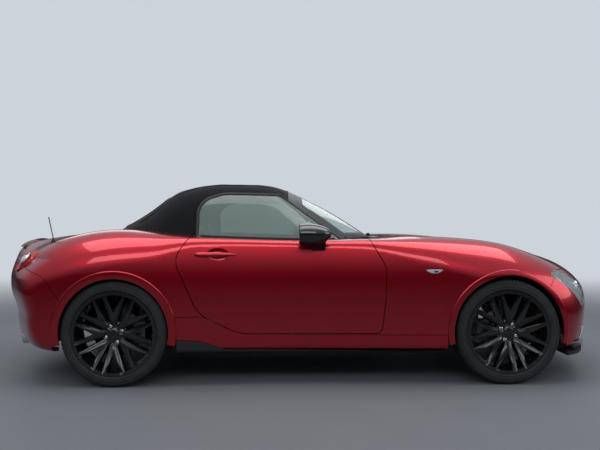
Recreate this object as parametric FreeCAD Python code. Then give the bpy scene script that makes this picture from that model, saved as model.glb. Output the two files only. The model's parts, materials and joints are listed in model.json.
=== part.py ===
"""Two-seat convertible car with a fabric soft top, as an assembly of separate solids.

Millimetres. +X points to the nose, +Y to the car's left, +Z up, and the tyres stand on Z = 0.
The painted body is one closed skin that follows a few lengthwise curves. Its panels are cut
from that skin along their shut lines, so neighbouring panels always share one surface.
"""

import FreeCAD
import Part
import math
import os

Vec = FreeCAD.Vector

# Overall sizes
LENGTH = 3915.0
FRONT_AXLE_X = 1222.5
REAR_AXLE_X = -1087.5
FRONT_TRACK = 1495.0
REAR_TRACK = 1505.0

# Clearances
PANEL_GAP = 5.0
MOVING_GAP = 6.0
SEAT_GAP = 0.3

# Skin
SKIN = 20.0
DOOR_DEPTH = 74.0
SPINE_Z = 412.0
SPINE_END = 1300.0
NOSE_BLUNTNESS = 308.0
TAIL_BLUNTNESS = 340.0
CROWN_Y = 610.0
SKIN_FLOOR_Z = 186.0
SHOULDER_DENSITY = 0.5
EDGE_DENSITY = 0.5
NOSE_EDGE_ROUND = 120.0
TAIL_EDGE_ROUND = 60.0
FLOOR_EDGE_ROUND = 40.0
TAIL_TUCK_ROUND = 180.0

# Lengthwise curves of the body: (x, value)
HALF_WIDTH = ((-1957, 790), (-1500, 850), (-1087, 867.5), (-500, 838), (0, 826), (500, 840),
              (1222, 867.5), (1550, 840), (1957, 770))
TOP_LINE = ((-1957, 815), (-1500, 880), (-1100, 905), (-600, 872), (0, 852), (420, 858),
            (700, 862), (1000, 845), (1300, 812), (1600, 752), (1800, 682), (1957, 575))
CROWN_RISE = ((-1957, 0), (-1400, 8), (-1000, 10), (-500, 0), (400, 0), (900, 14), (1350, 14),
              (1700, 0), (1957, 0))
SHOULDER_ROUND = ((-1957, 130), (-1400, 190), (-900, 150), (-600, 60), (350, 55), (700, 120),
                  (1200, 190), (1957, 150))
SHOULDER_DROP = ((-1957, 30), (-1300, 40), (-700, 4), (350, 4), (700, 25), (1200, 60),
                 (1700, 60), (1957, 30))
CROSS_CAMBER = ((-1957, 190), (-1700, 115), (-1500, 40), (-1250, 5), (-900, 0), (1000, 0),
                (1222, 6), (1400, 26), (1600, 62), (1800, 110), (1957, 140))

# Cabin form above the belt
ROOF_LINE = ((-1420, 780), (-1213, 915), (-1043, 1018), (-873, 1140), (-787, 1182),
             (-616, 1217), (-400, 1224), (-190, 1213), (-122, 1196), (-57, 1172),
             (226, 1030), (489, 865), (620, 770))
BELT_HALF_WIDTH = ((-1400, 560), (-1000, 650), (-600, 715), (0, 728), (330, 700), (600, 640))
CABIN_LEAN = 0.43
BELT_Z = 850.0
CABIN_SPINE = (-900.0, 150.0)
CABIN_SPINE_Z = 830.0
ROOF_SIDE_ROUND = 130.0
REAR_SWEEP = 100.0
TOP_CLOTH = 12.0
PILLAR_DEPTH = 38.0
GLASS = 4.5

# Wheels
TYRE_RADIUS = 309.0
TYRE_WIDTH = 205.0
TYRE_SIDES = 88
RIM_RADIUS = 246.0
RIM_WIDTH = 196.0
ARCH_RADIUS = 362.0
ARCH_Z = 314.0
SPOKE_PAIRS = 8
HUB_RADIUS = 74.0
HUB_BORE = 30.0
BOLT_CIRCLE = 100.0
BOLT_COUNT = 4
DISC_RADIUS = 140.0
DISC_THICKNESS = 22.0
KINGPIN_Y = 700.0
UPRIGHT_DROP = 94.0
UPRIGHT_RISE = 106.0
UPRIGHT_THICKNESS = 28.0
BALL_RADIUS = 20.0
WHEEL_FACE_Y = -92.0
HUB_FACE_Y = -45.0
SPOKE_DEPTH = 34.0
SPOKE_SPREAD = 15.0
SPOKE_TIP_WIDTH = 17.0
SPOKE_ROOT_WIDTH = 30.0
SPOKE_FORK_RADIUS = 118.0
BOLT_POCKET = 13.0
DISC_Y = -1.0
STUB_TIP_Y = -58.0
FRONT_WHEEL_TURN = 41.0

# Cabin furniture and outside pieces
SEAT_Y = 365.0
STEER_X = 40.0
STEER_Y = 365.0
STEER_Z = 760.0
STEER_RADIUS = 172.0
COLUMN_TILT = 24.0
MIRROR_X = 35.0
MIRROR_Y = 885.0
MIRROR_Z = 886.0
MIRROR_LENGTH = 138.0
MIRROR_WIDTH = 150.0
MIRROR_HEIGHT = 122.0
MIRROR_REAR_X = -12.0
AERIAL_X = -1532.0
AERIAL_Y = 566.0

os.makedirs("parts", exist_ok=True)


# Curves and fields
def law(pairs):
    """Return a smooth curve through (position, value) pairs."""
    xs = [float(p[0]) for p in pairs]
    ys = [float(p[1]) for p in pairs]
    last = len(xs) - 1
    slopes = []
    for i in range(last + 1):
        a = max(i - 1, 0)
        b = min(i + 1, last)
        slopes.append((ys[b] - ys[a]) / (xs[b] - xs[a]))

    def value(x):
        if x <= xs[0]:
            return ys[0] + (x - xs[0]) * slopes[0]
        if x >= xs[-1]:
            return ys[-1] + (x - xs[-1]) * slopes[-1]
        i = 0
        while x > xs[i + 1]:
            i += 1
        h = xs[i + 1] - xs[i]
        t = (x - xs[i]) / h
        near = (1 + 2 * t) * (1 - t) ** 2 * ys[i] + t * (1 - t) ** 2 * h * slopes[i]
        far = t * t * (3 - 2 * t) * ys[i + 1] + t * t * (t - 1) * h * slopes[i + 1]
        return near + far

    return value


def round_max(a, b, k):
    """Largest of two distances, blended over the width k so that their edge is rounded."""
    reach = k - abs(a - b)
    if reach <= 0:
        return max(a, b)
    return max(a, b) + reach * reach / (4 * k)


def ease(share):
    """Smooth step from 0 to 1 as the share goes from 0 to 1."""
    share = min(1.0, max(0.0, share))
    return share * share * (3 - 2 * share)


half_width = law(HALF_WIDTH)
top_line = law(TOP_LINE)
crown_rise = law(CROWN_RISE)
shoulder_round = law(SHOULDER_ROUND)
shoulder_drop = law(SHOULDER_DROP)
cross_camber = law(CROSS_CAMBER)
roof_line = law(ROOF_LINE)
belt_half_width = law(BELT_HALF_WIDTH)


def body_field(x, y, z, inset):
    """Signed distance-like field of the painted body, moved inward by inset."""
    y = abs(y)
    side = half_width(x) - 30 * max(0.0, (z - 600) / 250) ** 2 - 18 * max(0.0, (400 - z) / 200) ** 2
    beside = y - side + inset
    ridge = crown_rise(x) * math.exp(-((y - CROWN_Y) / 130) ** 2)
    fall = shoulder_drop(x) * max(0.0, (y - CROWN_Y) / (side - CROWN_Y)) ** 2
    above = z - top_line(x) - ridge + fall + cross_camber(x) * (y / CROWN_Y) ** 2 + inset
    nose = x - LENGTH / 2 + NOSE_BLUNTNESS * (y / 850) ** 1.8 + inset
    nose += 26 * max(0.0, (440 - z) / 200) ** 2 + 60 * max(0.0, (z - 520) / 150) ** 2
    tail = -x - LENGTH / 2 + TAIL_BLUNTNESS * (y / 850) ** 1.7 + inset
    tail += 44 * ease((560 - z) / 170) + 42 * max(0.0, (z - 620) / 200) ** 1.5
    tail += 70 * (y / 600) ** 2 * min(1.0, max(0.0, (z - 620) / 120)) ** 1.5
    around = round_max(beside, above, shoulder_round(x))
    around = round_max(round_max(around, nose, NOSE_EDGE_ROUND), tail, TAIL_EDGE_ROUND)
    tuck = FLOOR_EDGE_ROUND + (TAIL_TUCK_ROUND - FLOOR_EDGE_ROUND) * ease((-x - 1400) / 250)
    return round_max(around, SKIN_FLOOR_Z - z + inset, tuck)


def cabin_field(x, y, z, inset):
    """Field of the windscreen, roof and side glass as one form, moved inward by inset."""
    y = abs(y)
    front = min(1.0, max(0.0, (x + 250) / 300))
    rear = min(1.0, max(0.0, (-500 - x) / 300))
    sweep = front * 190 * (y / 620) ** 2.2 - rear * REAR_SWEEP * (y / 600) ** 2.2
    above = z - roof_line(x + sweep) + 34 * (y / 500) ** 2 + inset
    beside = y - belt_half_width(x) + (z - BELT_Z) * CABIN_LEAN + inset
    return round_max(round_max(above, beside, ROOF_SIDE_ROUND), 760 - z + inset, 20)


def surface_point(field, inset, start, direction):
    """Point where a ray from inside the form leaves it."""
    near = 0.0
    far = 1.0

    def at(r):
        return field(start[0] + direction[0] * r, direction[1] * r, start[2] + direction[2] * r, inset)

    while at(far) < 0:
        far *= 1.3
    for _ in range(22):
        middle = (near + far) / 2
        if at(middle) < 0:
            near = middle
        else:
            far = middle
    return Vec(start[0] + direction[0] * far, direction[1] * far, start[2] + direction[2] * far)


def form(field, inset, spine, spine_z, reach, rows, fan, around):
    """Closed solid of a field: a net of points on rays from a spine, as one smooth surface."""
    x0, x1 = spine
    along, across, up = reach
    even = [2 * math.pi * j / around - math.pi / 2 for j in range(around + 1)]
    turns = [t + SHOULDER_DENSITY / 4 * math.sin(4 * t) for t in even]

    def ring(x, lean):
        row = []
        for t in turns:
            d = (math.sin(lean) * along / across, math.cos(lean) * math.cos(t),
                 math.cos(lean) * math.sin(t) * up / across)
            row.append(surface_point(field, inset, (x, 0, spine_z), d))
        row[0] = Vec(row[0].x, 0, row[0].z)
        row[-1] = row[0]
        return row

    def lean(step):
        even = math.pi / 2 * step / fan
        return even + EDGE_DENSITY / 4 * math.sin(4 * even)

    tail_tip = surface_point(field, inset, (x0, 0, spine_z), (-1, 0, 0))
    nose_tip = surface_point(field, inset, (x1, 0, spine_z), (1, 0, 0))
    net = [[tail_tip] * (around + 1)]
    net += [ring(x0, -lean(i)) for i in range(fan - 1, 0, -1)]
    net += [ring(x0 + (x1 - x0) * i / rows, 0) for i in range(rows + 1)]
    net += [ring(x1, lean(i)) for i in range(1, fan)]
    net += [[nose_tip] * (around + 1)]

    def knots(count):
        inner = count - 4
        return [float(i) for i in range(inner + 2)], [4] + [1] * inner + [4]

    u_knots, u_mults = knots(len(net))
    v_knots, v_mults = knots(around + 1)
    surface = Part.BSplineSurface()
    surface.buildFromPolesMultsKnots(net, u_mults, v_mults, u_knots, v_knots, False, False, 3, 3)
    return Part.Solid(Part.Shell([surface.toShape()]))


def body_form(inset):
    """Painted body as a solid, moved inward by inset."""
    return form(body_field, inset, (-SPINE_END, SPINE_END), SPINE_Z, (650, 850, 430), 40, 11, 76)


def cabin_form(inset):
    """Cabin form as a solid, moved inward by inset."""
    return form(cabin_field, inset, CABIN_SPINE, CABIN_SPINE_Z, (480, 700, 380), 28, 12, 56)


# Outlines and prisms
def corner_path(points, place):
    """Closed wire through (a, b, radius) corners, each rounded by a tangent arc."""
    count = len(points)
    ends = []
    for i in range(count):
        a, b, radius = points[i]
        pa, pb = points[i - 1][:2]
        na, nb = points[(i + 1) % count][:2]
        ua, ub = pa - a, pb - b
        va, vb = na - a, nb - b
        ul = math.hypot(ua, ub)
        vl = math.hypot(va, vb)
        ua, ub, va, vb = ua / ul, ub / ul, va / vl, vb / vl
        angle = math.acos(max(-1.0, min(1.0, ua * va + ub * vb)))
        if radius <= 0 or angle > math.pi - 0.02:
            ends.append(((a, b), None, (a, b)))
            continue
        cut = min(radius / math.tan(angle / 2), 0.49 * ul, 0.49 * vl)
        radius = cut * math.tan(angle / 2)
        ma, mb = ua + va, ub + vb
        ml = math.hypot(ma, mb)
        depth = radius / math.sin(angle / 2) - radius
        ends.append(((a + ua * cut, b + ub * cut), (a + ma / ml * depth, b + mb / ml * depth),
                     (a + va * cut, b + vb * cut)))
    edges = []
    for i in range(count):
        start, middle, stop = ends[i]
        if middle:
            edges.append(Part.Arc(place(*start), place(*middle), place(*stop)).toShape())
        follow = ends[(i + 1) % count][0]
        if math.hypot(follow[0] - stop[0], follow[1] - stop[1]) > 0.01:
            edges.append(Part.LineSegment(place(*stop), place(*follow)).toShape())
    return Part.Wire(edges)


def grown(points, distance):
    """The same corners with every side moved outward by distance."""
    count = len(points)
    area = sum(points[i - 1][0] * points[i][1] - points[i][0] * points[i - 1][1] for i in range(count))
    turn = 1.0 if area > 0 else -1.0
    result = []
    for i in range(count):
        a, b, radius = points[i]
        pa, pb = points[i - 1][:2]
        na, nb = points[(i + 1) % count][:2]
        d1 = math.hypot(a - pa, b - pb)
        d2 = math.hypot(na - a, nb - b)
        n1 = ((b - pb) / d1 * turn, (pa - a) / d1 * turn)
        n2 = ((nb - b) / d2 * turn, (a - na) / d2 * turn)
        scale = distance / (1 + n1[0] * n2[0] + n1[1] * n2[1])
        bulge = (a - pa) * (nb - b) - (b - pb) * (na - a)
        radius = max(0.0, radius + (distance if bulge * turn > 0 else -distance)) if radius else 0.0
        result.append((a + (n1[0] + n2[0]) * scale, b + (n1[1] + n2[1]) * scale, radius))
    return result


def side_prism(points, y0, y1):
    """Outline in (x, z), running across from y0 to y1."""
    return Part.Face(corner_path(points, lambda a, b: Vec(a, y0, b))).extrude(Vec(0, y1 - y0, 0))


def plan_prism(points, z0, z1):
    """Outline in (x, y), running up from z0 to z1."""
    return Part.Face(corner_path(points, lambda a, b: Vec(a, b, z0))).extrude(Vec(0, 0, z1 - z0))


def front_prism(points, x0, x1):
    """Outline in (y, z), running forward from x0 to x1."""
    return Part.Face(corner_path(points, lambda a, b: Vec(x0, a, b))).extrude(Vec(x1 - x0, 0, 0))


def box(x0, x1, y0, y1, z0, z1):
    """Axis-aligned block between two corners."""
    return Part.makeBox(x1 - x0, y1 - y0, z1 - z0, Vec(x0, y0, z0))


def bar(start, stop, radius):
    """Round bar between two points."""
    start, stop = Vec(*start), Vec(*stop)
    return Part.makeCylinder(radius, start.distanceToPoint(stop), start, stop - start)


def mirrored(shape):
    """Copy on the other side of the car."""
    return shape.mirror(Vec(0, 0, 0), Vec(0, 1, 0))


def symmetric(points):
    """Close a half outline (x, y, r) with y below zero by its mirror image."""
    return points + [(a, -b, r) for a, b, r in reversed(points)]


def pipe(points, radius):
    """Round tube of straight runs joined by balls at its bends."""
    shape = None
    for i in range(len(points) - 1):
        run = bar(points[i], points[i + 1], radius)
        shape = run if shape is None else shape.fuse(run)
        if i:
            heading = Vec(*points[i]) - Vec(*points[i - 1])
            shape = shape.fuse(Part.makeSphere(radius, Vec(*points[i]), heading))
    return shape.removeSplitter()


def save(name, *shapes):
    """Write one node; several shapes become one file of separate solids."""
    solids = [s for shape in shapes for s in shape.Solids]
    for solid in solids:
        if not solid.isValid():
            print("not valid:", name)
    node = solids[0] if len(solids) == 1 else Part.makeCompound(solids)
    node.exportStep("parts/" + name + ".step")
    print(name, len(solids), round(sum(s.Volume for s in solids) / 1e6, 2))


# Shut lines
DOOR = [(392, 1100, 0), (404, 856, 60), (498, 690, 150), (496, 520, 200), (470, 306, 40),
        (-360, 306, 260), (-600, 420, 200), (-742, 742, 110), (-668, 852, 60), (-616, 905, 20),
        (-612, 1100, 0)]
DOOR_FLANGE = 18.0
DOOR_CORE_TOP_Z = 822.0
LAMP_GAP = 1.5
TIP_GAP = 12.0
SKIRT_GAP = 1.0
BONNET_REAR_X = 440.0
BONNET = symmetric([(BONNET_REAR_X, -664, 25), (900, -640, 0), (1250, -585, 0), (1560, -520, 200),
                    (1790, -400, 160), (1858, -180, 300)]) + [(590, 0, 500)]
LID_FRONT_X = -1330.0
BOOT_LID = symmetric([(-2100, -470, 0), (-1640, -505, 0), (-1345, -500, 60)])
BOOT_LID = BOOT_LID[:3] + [(LID_FRONT_X, 0, 900)] + BOOT_LID[3:]
LID_BOTTOM_Z = 716.0
COLLAR = 12.0
COLLAR_X = (-760, -880)
COLLAR_Y = (540, 450, 360, 270, 180, 60)
COCKPIT_SIDE = [(470, -640, 60), (300, -690, 60), (-640, -690, 60)]
COWL = symmetric([(380, -668, 0), (480, -652, 0), (640, -300, 0), (700, -1, 0)])
FRONT_SEAM = [(1556, 664, 0), (1450, 540, 0), (1380, 400, 0), (1380, 120, 0), (2100, 120, 0),
              (2100, 664, 0)]
REAR_SEAM = [(-1700, 700, 60), (-1500, 640, 80), (-1380, 480, 0), (-1340, 120, 0),
             (-2100, 120, 0), (-2100, 700, 0)]
SEAM_GAP = 3.0
SILL_TOP_REAR_Z = 404.0
SILL_TOP_FRONT_Z = 294.0
SILL_STEP_X = -100.0
SKIRT = [(-727, 120, 0), (-727, 271, 0), (-593, 262, 30), (-440, 214, 60), (576, 196, 0),
         (850, 201, 0), (850, 120, 0)]
SKIRT_PROUD = 9.0
SILL_BOX_Y = 764.0
SILL_BOX_WIDTH = 84.0
MOUTH_TOP_Z = 468.0
MOUTH_BOTTOM_Z = 236.0
GRILLE = [(-505, MOUTH_TOP_Z, 30), (505, MOUTH_TOP_Z, 30), (470, 330, 60), (330, MOUTH_BOTTOM_Z, 60),
          (-330, MOUTH_BOTTOM_Z, 60), (-470, 330, 60)]
GRILLE_INSET = 26.0
GRILLE_DEPTH = 30.0
GRILLE_POSTS = (-360, -240, -120, 0, 120, 240, 360)
GRILLE_BARS = 9
GRILLE_BAR = 7.0
VALANCE = [(-640, 100, 0), (-590, 292, 40), (590, 292, 40), (640, 100, 0)]
TIP_Y = (-505.0, -410.0)
TIP_Z = 232.0
TIP_RADIUS = 34.0
TIP_REACH = 6.0

# Lamps
LAMP_REAR = (1525.0, -800.0)
LAMP = [(-6, 645, 12), (76, 674, 30), (230, 600, 200), (388, 520, 12), (300, 462, 60),
        (178, 446, 25), (110, 530, 80)]
LENS = 5.0
TAIL_LAMP_Y = 628.0
TAIL_LAMP_Z = 722.0
TAIL_LAMP_RADIUS = 62.0

# Side glass and windscreen
SIDE_GLASS = [(-614, 700, 0), (-618, 1030, 60), (-582, 1092, 120), (-470, 1128, 200),
              (-128, 1120, 60), (262, 838, 60), (262, 700, 0)]
WINDSCREEN = symmetric([(-26, -474, 60), (418, -592, 50), (520, -300, 400)])
FRAME = symmetric([(-76, -700, 0), (330, -720, 0), (470, -600, 80), (585, -200, 300)])
REAR_WINDOW = symmetric([(-1150, -330, 70), (-880, -400, 70)])
SIDE_SEAL = 7.0


def side_of(points, y_inner=600.0, y_outer=1100.0):
    """Prism of an (x, z) outline through the car's right side."""
    return side_prism(points, -y_outer, -y_inner)


def across(points):
    """Prism of an (x, z) outline through the whole width."""
    return side_prism(points, -1100, 1100)


def crossing(inside, near, far):
    """Place between near and far where a test stops being true."""
    for _ in range(24):
        middle = (near + far) / 2
        if inside(middle):
            near = middle
        else:
            far = middle
    return near


def height(field, x, y):
    """Height of a form's upper surface at a plan position."""
    return crossing(lambda z: field(x, y, z, 0) < 0, 500.0, 1400.0)


def under_top(x, y):
    """Whether a place on the deck lies under the cloth top."""
    return cabin_field(x, y, height(body_field, x, y), 0) < 0


def tail_edge(y, z):
    """Rearmost x of the body at a width and height."""
    return crossing(lambda x: body_field(x, y, z, 0) < 0, -1300.0, -2000.0)


def nose_edge(y, z, ahead):
    """Foremost x of the body at a width and height."""
    return crossing(lambda x: body_field(x, y, z, 0) < 0, 1000.0, 2000.0) + ahead


# Forms
outer = body_form(0.0)
inner = body_form(SKIN)
deep = body_form(DOOR_DEPTH)
seat_form = body_form(-SEAT_GAP)
lens_back = body_form(LENS)
proud = body_form(-SKIRT_PROUD)
cabin = cabin_form(0.0)
cabin_glass = cabin.cut(cabin_form(GLASS))
cabin_cloth = cabin.cut(cabin_form(TOP_CLOTH))
cabin_pillar = cabin.cut(cabin_form(PILLAR_DEPTH))


def wheel_space(x):
    """Cylinder and slot that clear a wheel, on both sides."""
    drum = Part.makeCylinder(ARCH_RADIUS, 700, Vec(x, -1100, ARCH_Z), Vec(0, 1, 0))
    slot = box(x - ARCH_RADIUS, x + ARCH_RADIUS, -1100, -400, 60, ARCH_Z)
    space = drum.fuse(slot)
    return [space, mirrored(space)]


arches = wheel_space(FRONT_AXLE_X) + wheel_space(REAR_AXLE_X)
cockpit_edge = [(x, COLLAR - crossing(lambda y: under_top(x, y), 300.0, 800.0), 0) for x in COLLAR_X]
cockpit_edge += [(crossing(lambda x: under_top(x, y), -900.0, -1400.0) + COLLAR, -y, 0) for y in COLLAR_Y]
cockpit = plan_prism(symmetric(COCKPIT_SIDE + cockpit_edge), 600, 1200)
open_floor = box(-1720, 1420, -700, 700, 150, 230)


def skin_of(region, form_out=outer, form_in=inner):
    """Panel of the skin inside a region, between two of the body's forms."""
    return form_out.common(region).cut(form_in)


def largest(shape):
    """Largest solid of a shape, without slivers beside it."""
    return max(shape.Solids, key=lambda solid: solid.Volume)


# Lamp outlines lie in a plane turned halfway to the side
lamp_axis = Vec(math.sqrt(0.5), -math.sqrt(0.5), 0)
lamp_along = Vec(math.sqrt(0.5), math.sqrt(0.5), 0)


def lamp_place(a, b):
    """Point of the lamp outline."""
    base = Vec(LAMP_REAR[0], LAMP_REAR[1], 0) + lamp_along * a - lamp_axis * 120
    return Vec(base.x, base.y, b)


def tail_drum(radius):
    """Lengthwise cylinder through the right tail lamp."""
    return Part.makeCylinder(radius, 500, Vec(-2050, -TAIL_LAMP_Y, TAIL_LAMP_Z), Vec(1, 0, 0))


lamp_prism = Part.Face(corner_path(LAMP, lamp_place)).extrude(lamp_axis * 300)
lamp_hole = Part.Face(corner_path(grown(LAMP, LAMP_GAP), lamp_place)).extrude(lamp_axis * 300)
tail_prism = tail_drum(TAIL_LAMP_RADIUS)
tail_hole = tail_drum(TAIL_LAMP_RADIUS + LAMP_GAP)
lamp_holes = [lamp_hole, mirrored(lamp_hole), tail_hole, mirrored(tail_hole)]
mouth = front_prism(GRILLE, 1700, 2100)
tips = [Part.makeCylinder(TIP_RADIUS + TIP_GAP, 500, Vec(-2100, y, TIP_Z), Vec(1, 0, 0)) for y in TIP_Y]
lens_r = skin_of(lamp_prism, outer, lens_back)
housing_r = skin_of(lamp_prism, inner, deep)
tail_lamp_r = skin_of(tail_prism, proud, inner)

# Painted panels, each from a region bounded by its shut lines
door_hole_r = side_of(grown(DOOR, PANEL_GAP))
door_holes = [door_hole_r, mirrored(door_hole_r)]
bonnet_hole = plan_prism(grown(BONNET, PANEL_GAP), 600, 1100)
lid_hole = plan_prism(grown(BOOT_LID, PANEL_GAP), LID_BOTTOM_Z - PANEL_GAP, 1100)
cowl_hole = plan_prism(grown(COWL, SEAM_GAP), 600, 1100)
valance_region = front_prism(VALANCE, -2100, -1400)

bonnet = skin_of(plan_prism(BONNET, 600, 1100))
boot_lid = skin_of(plan_prism(BOOT_LID, LID_BOTTOM_Z, 1100))
cowl = largest(skin_of(plan_prism(COWL, 600, 1100).cut([bonnet_hole, cockpit])))
front_bumper = skin_of(across(FRONT_SEAM).cut([bonnet_hole, mouth, open_floor] + lamp_holes + arches))
rear_region = across(REAR_SEAM).cut([lid_hole, open_floor] + tips + lamp_holes + arches)
rear_bumper = largest(skin_of(rear_region.cut(front_prism(grown(VALANCE, SEAM_GAP / 2), -2100, -1340))))
rear_valance = largest(skin_of(rear_region.common(valance_region)))
fender_region = box(SILL_STEP_X, 2000, -1000, 0, SILL_TOP_FRONT_Z + SEAM_GAP, 1200).cut(
    [bonnet_hole, cowl_hole, cockpit, door_hole_r, lamp_hole, across(grown(FRONT_SEAM, SEAM_GAP))] + arches)
fender_r = largest(skin_of(fender_region))
quarter_region = box(-2100, SILL_STEP_X, -1000, 1000, SILL_TOP_REAR_Z + SEAM_GAP, 1200).cut(
    [lid_hole, cockpit, across(grown(REAR_SEAM, SEAM_GAP))] + door_holes + lamp_holes + arches)
quarters = largest(skin_of(quarter_region))
sill_region = box(-740, SILL_STEP_X, -1000, -SILL_BOX_Y - MOVING_GAP, 150, SILL_TOP_REAR_Z).fuse(
    box(SILL_STEP_X, 900, -1000, -SILL_BOX_Y - MOVING_GAP, 150, SILL_TOP_FRONT_Z))
sill_r = largest(skin_of(sill_region.cut([door_hole_r, side_of(grown(SKIRT, SKIRT_GAP))] + arches)))
skirt_r = largest(skin_of(side_of(SKIRT, SILL_BOX_Y + MOVING_GAP).cut(arches), proud, inner))

door_thick = skin_of(side_of(DOOR), outer, deep)
below_ledge = box(-2000, 2000, -2000, 2000, DOOR_CORE_TOP_Z, 2000)
door_core = inner.common(side_of(DOOR).cut(side_of(grown(DOOR, -DOOR_FLANGE)).cut(below_ledge)))
door_r = largest(door_thick.cut([door_core, cockpit]))

save("bonnet", bonnet)
save("boot_lid", boot_lid)
save("cowl", cowl)
save("front_bumper", front_bumper)
save("rear_bumper", rear_bumper)
save("rear_valance", rear_valance)
save("fenders", fender_r, mirrored(fender_r))
save("rear_quarters", quarters)
save("side_sills", sill_r, mirrored(sill_r))
save("side_skirts", skirt_r, mirrored(skirt_r))
save("door_r", door_r)
save("door_l", mirrored(door_r))
save("headlamp_lenses", lens_r, mirrored(lens_r))
save("headlamp_housings", housing_r, mirrored(housing_r))
save("tail_lamps", tail_lamp_r, mirrored(tail_lamp_r))

# Grille of slats that follow the nose, joined by posts
def nose_curve(z, inset):
    """Line round the nose at a height, inset from the skin."""
    points = [Vec(nose_edge(abs(y), z, -inset), y, z) for y in range(-540, 541, 120)]
    curve = Part.BSplineCurve()
    curve.interpolate(points)
    return curve.toShape()


def slat(z):
    """One slat of the grille, from its middle height."""
    front = nose_curve(z - GRILLE_BAR / 2, GRILLE_INSET)
    rear = nose_curve(z - GRILLE_BAR / 2, GRILLE_INSET + GRILLE_DEPTH)
    ends = [Part.makeLine(front.Vertexes[i].Point, rear.Vertexes[i].Point) for i in (0, 1)]
    return Part.Face(Part.Wire([front, ends[1], rear, ends[0]])).extrude(Vec(0, 0, GRILLE_BAR))


def post(y):
    """Upright that joins the slats."""
    heights = [MOUTH_BOTTOM_Z + (MOUTH_TOP_Z - MOUTH_BOTTOM_Z) * i / 6 for i in range(7)]
    line = [(nose_edge(abs(y), z, -GRILLE_INSET - 4), z, 0) for z in heights]
    line += [(nose_edge(abs(y), z, -GRILLE_INSET - GRILLE_DEPTH + 4), z, 0) for z in reversed(heights)]
    return side_prism(line, y - GRILLE_BAR / 2, y + GRILLE_BAR / 2)


pitch = (MOUTH_TOP_Z - MOUTH_BOTTOM_Z) / GRILLE_BARS
slats = [slat(MOUTH_BOTTOM_Z + pitch * (i + 0.5)) for i in range(GRILLE_BARS)]
posts = [post(y) for y in GRILLE_POSTS]
save("grille", largest(slats[0].multiFuse(slats[1:] + posts).common(mouth)))

# Boot lip
lip_region = plan_prism(symmetric([(-2100, -462, 0), (-1822, -488, 60)]), 796, 1100)
boot_lip = largest(skin_of(lip_region, body_form(-14), seat_form))
save("boot_lip", boot_lip)

# Front splitter
edge_ys = [-820, -700, -560, -400, -200, 0, 200, 400, 560, 700, 820]
edge = [Vec(nose_edge(abs(y), 215, 10), y, 164) for y in edge_ys]
curve = Part.BSplineCurve()
curve.interpolate(edge)
back = Part.makePolygon([edge[-1], Vec(1420, 820, 164), Vec(1420, -820, 164), edge[0]])
splitter = Part.Face(Part.Wire([curve.toShape()] + back.Edges)).extrude(Vec(0, 0, 20))
splitter = splitter.cut([box(1000, FRONT_AXLE_X + ARCH_RADIUS, -900, -430, 0, 400),
                         box(1000, FRONT_AXLE_X + ARCH_RADIUS, 430, 900, 0, 400)])
save("front_splitter", splitter)

# Cabin
side_glass_hole = side_of(grown(SIDE_GLASS, SIDE_SEAL), 400)
side_glass_holes = [side_glass_hole, mirrored(side_glass_hole)]
frame_region = plan_prism(FRAME, 700, 1300)
frame = cabin_pillar.common(frame_region).cut(
    [plan_prism(grown(WINDSCREEN, 0.5), 700, 1300), seat_form] + side_glass_holes)
windscreen = cabin_glass.common(plan_prism(WINDSCREEN, 700, 1300)).cut(seat_form)
soft_top = cabin_cloth.cut([plan_prism(grown(FRAME, 2), 700, 1300), seat_form,
                            plan_prism(grown(REAR_WINDOW, 0.5), 700, 1300)] + side_glass_holes)
soft_top = max(soft_top.Solids, key=lambda s: s.Volume)
rear_window = cabin_glass.common(plan_prism(REAR_WINDOW, 700, 1300))
rear_window = max(rear_window.Solids, key=lambda s: s.Volume)
door_glass_r = cabin_glass.common(side_of(SIDE_GLASS, 400)).cut(seat_form)
save("windscreen_frame", frame)
save("windscreen", windscreen)
save("soft_top", soft_top)
save("rear_window", rear_window)
save("door_glass_r", door_glass_r)
save("door_glass_l", mirrored(door_glass_r))

# Running gear
def ring(profile):
    """Solid of revolution about the Y axis from (radius, y) corners."""
    points = [Vec(r, y, 0) for r, y in profile]
    points.append(points[0])
    return Part.Face(Part.makePolygon(points)).revolve(Vec(0, 0, 0), Vec(0, 1, 0), 360)


def spoke_pair(angle):
    """One V of two tapering arms, its point at the hub, with drafted flanks."""
    def contour(y, widen):
        spread = math.radians(SPOKE_SPREAD)
        tip = RIM_RADIUS - 16
        half = (SPOKE_TIP_WIDTH / 2 + widen) / tip
        root = SPOKE_ROOT_WIDTH / 2 + widen
        polar = [(HUB_RADIUS - 20, -root / (HUB_RADIUS - 20)), (tip, -spread - half),
                 (tip, -spread + half), (SPOKE_FORK_RADIUS - widen, 0.0), (tip, spread - half),
                 (tip, spread + half), (HUB_RADIUS - 20, root / (HUB_RADIUS - 20))]
        points = [Vec(r * math.cos(angle + a), y, r * math.sin(angle + a)) for r, a in polar]
        return Part.makePolygon(points + [points[0]])

    return Part.makeLoft([contour(WHEEL_FACE_Y + SPOKE_DEPTH, 5), contour(WHEEL_FACE_Y + 6, 2),
                          contour(WHEEL_FACE_Y, -2)], True, True)


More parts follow.
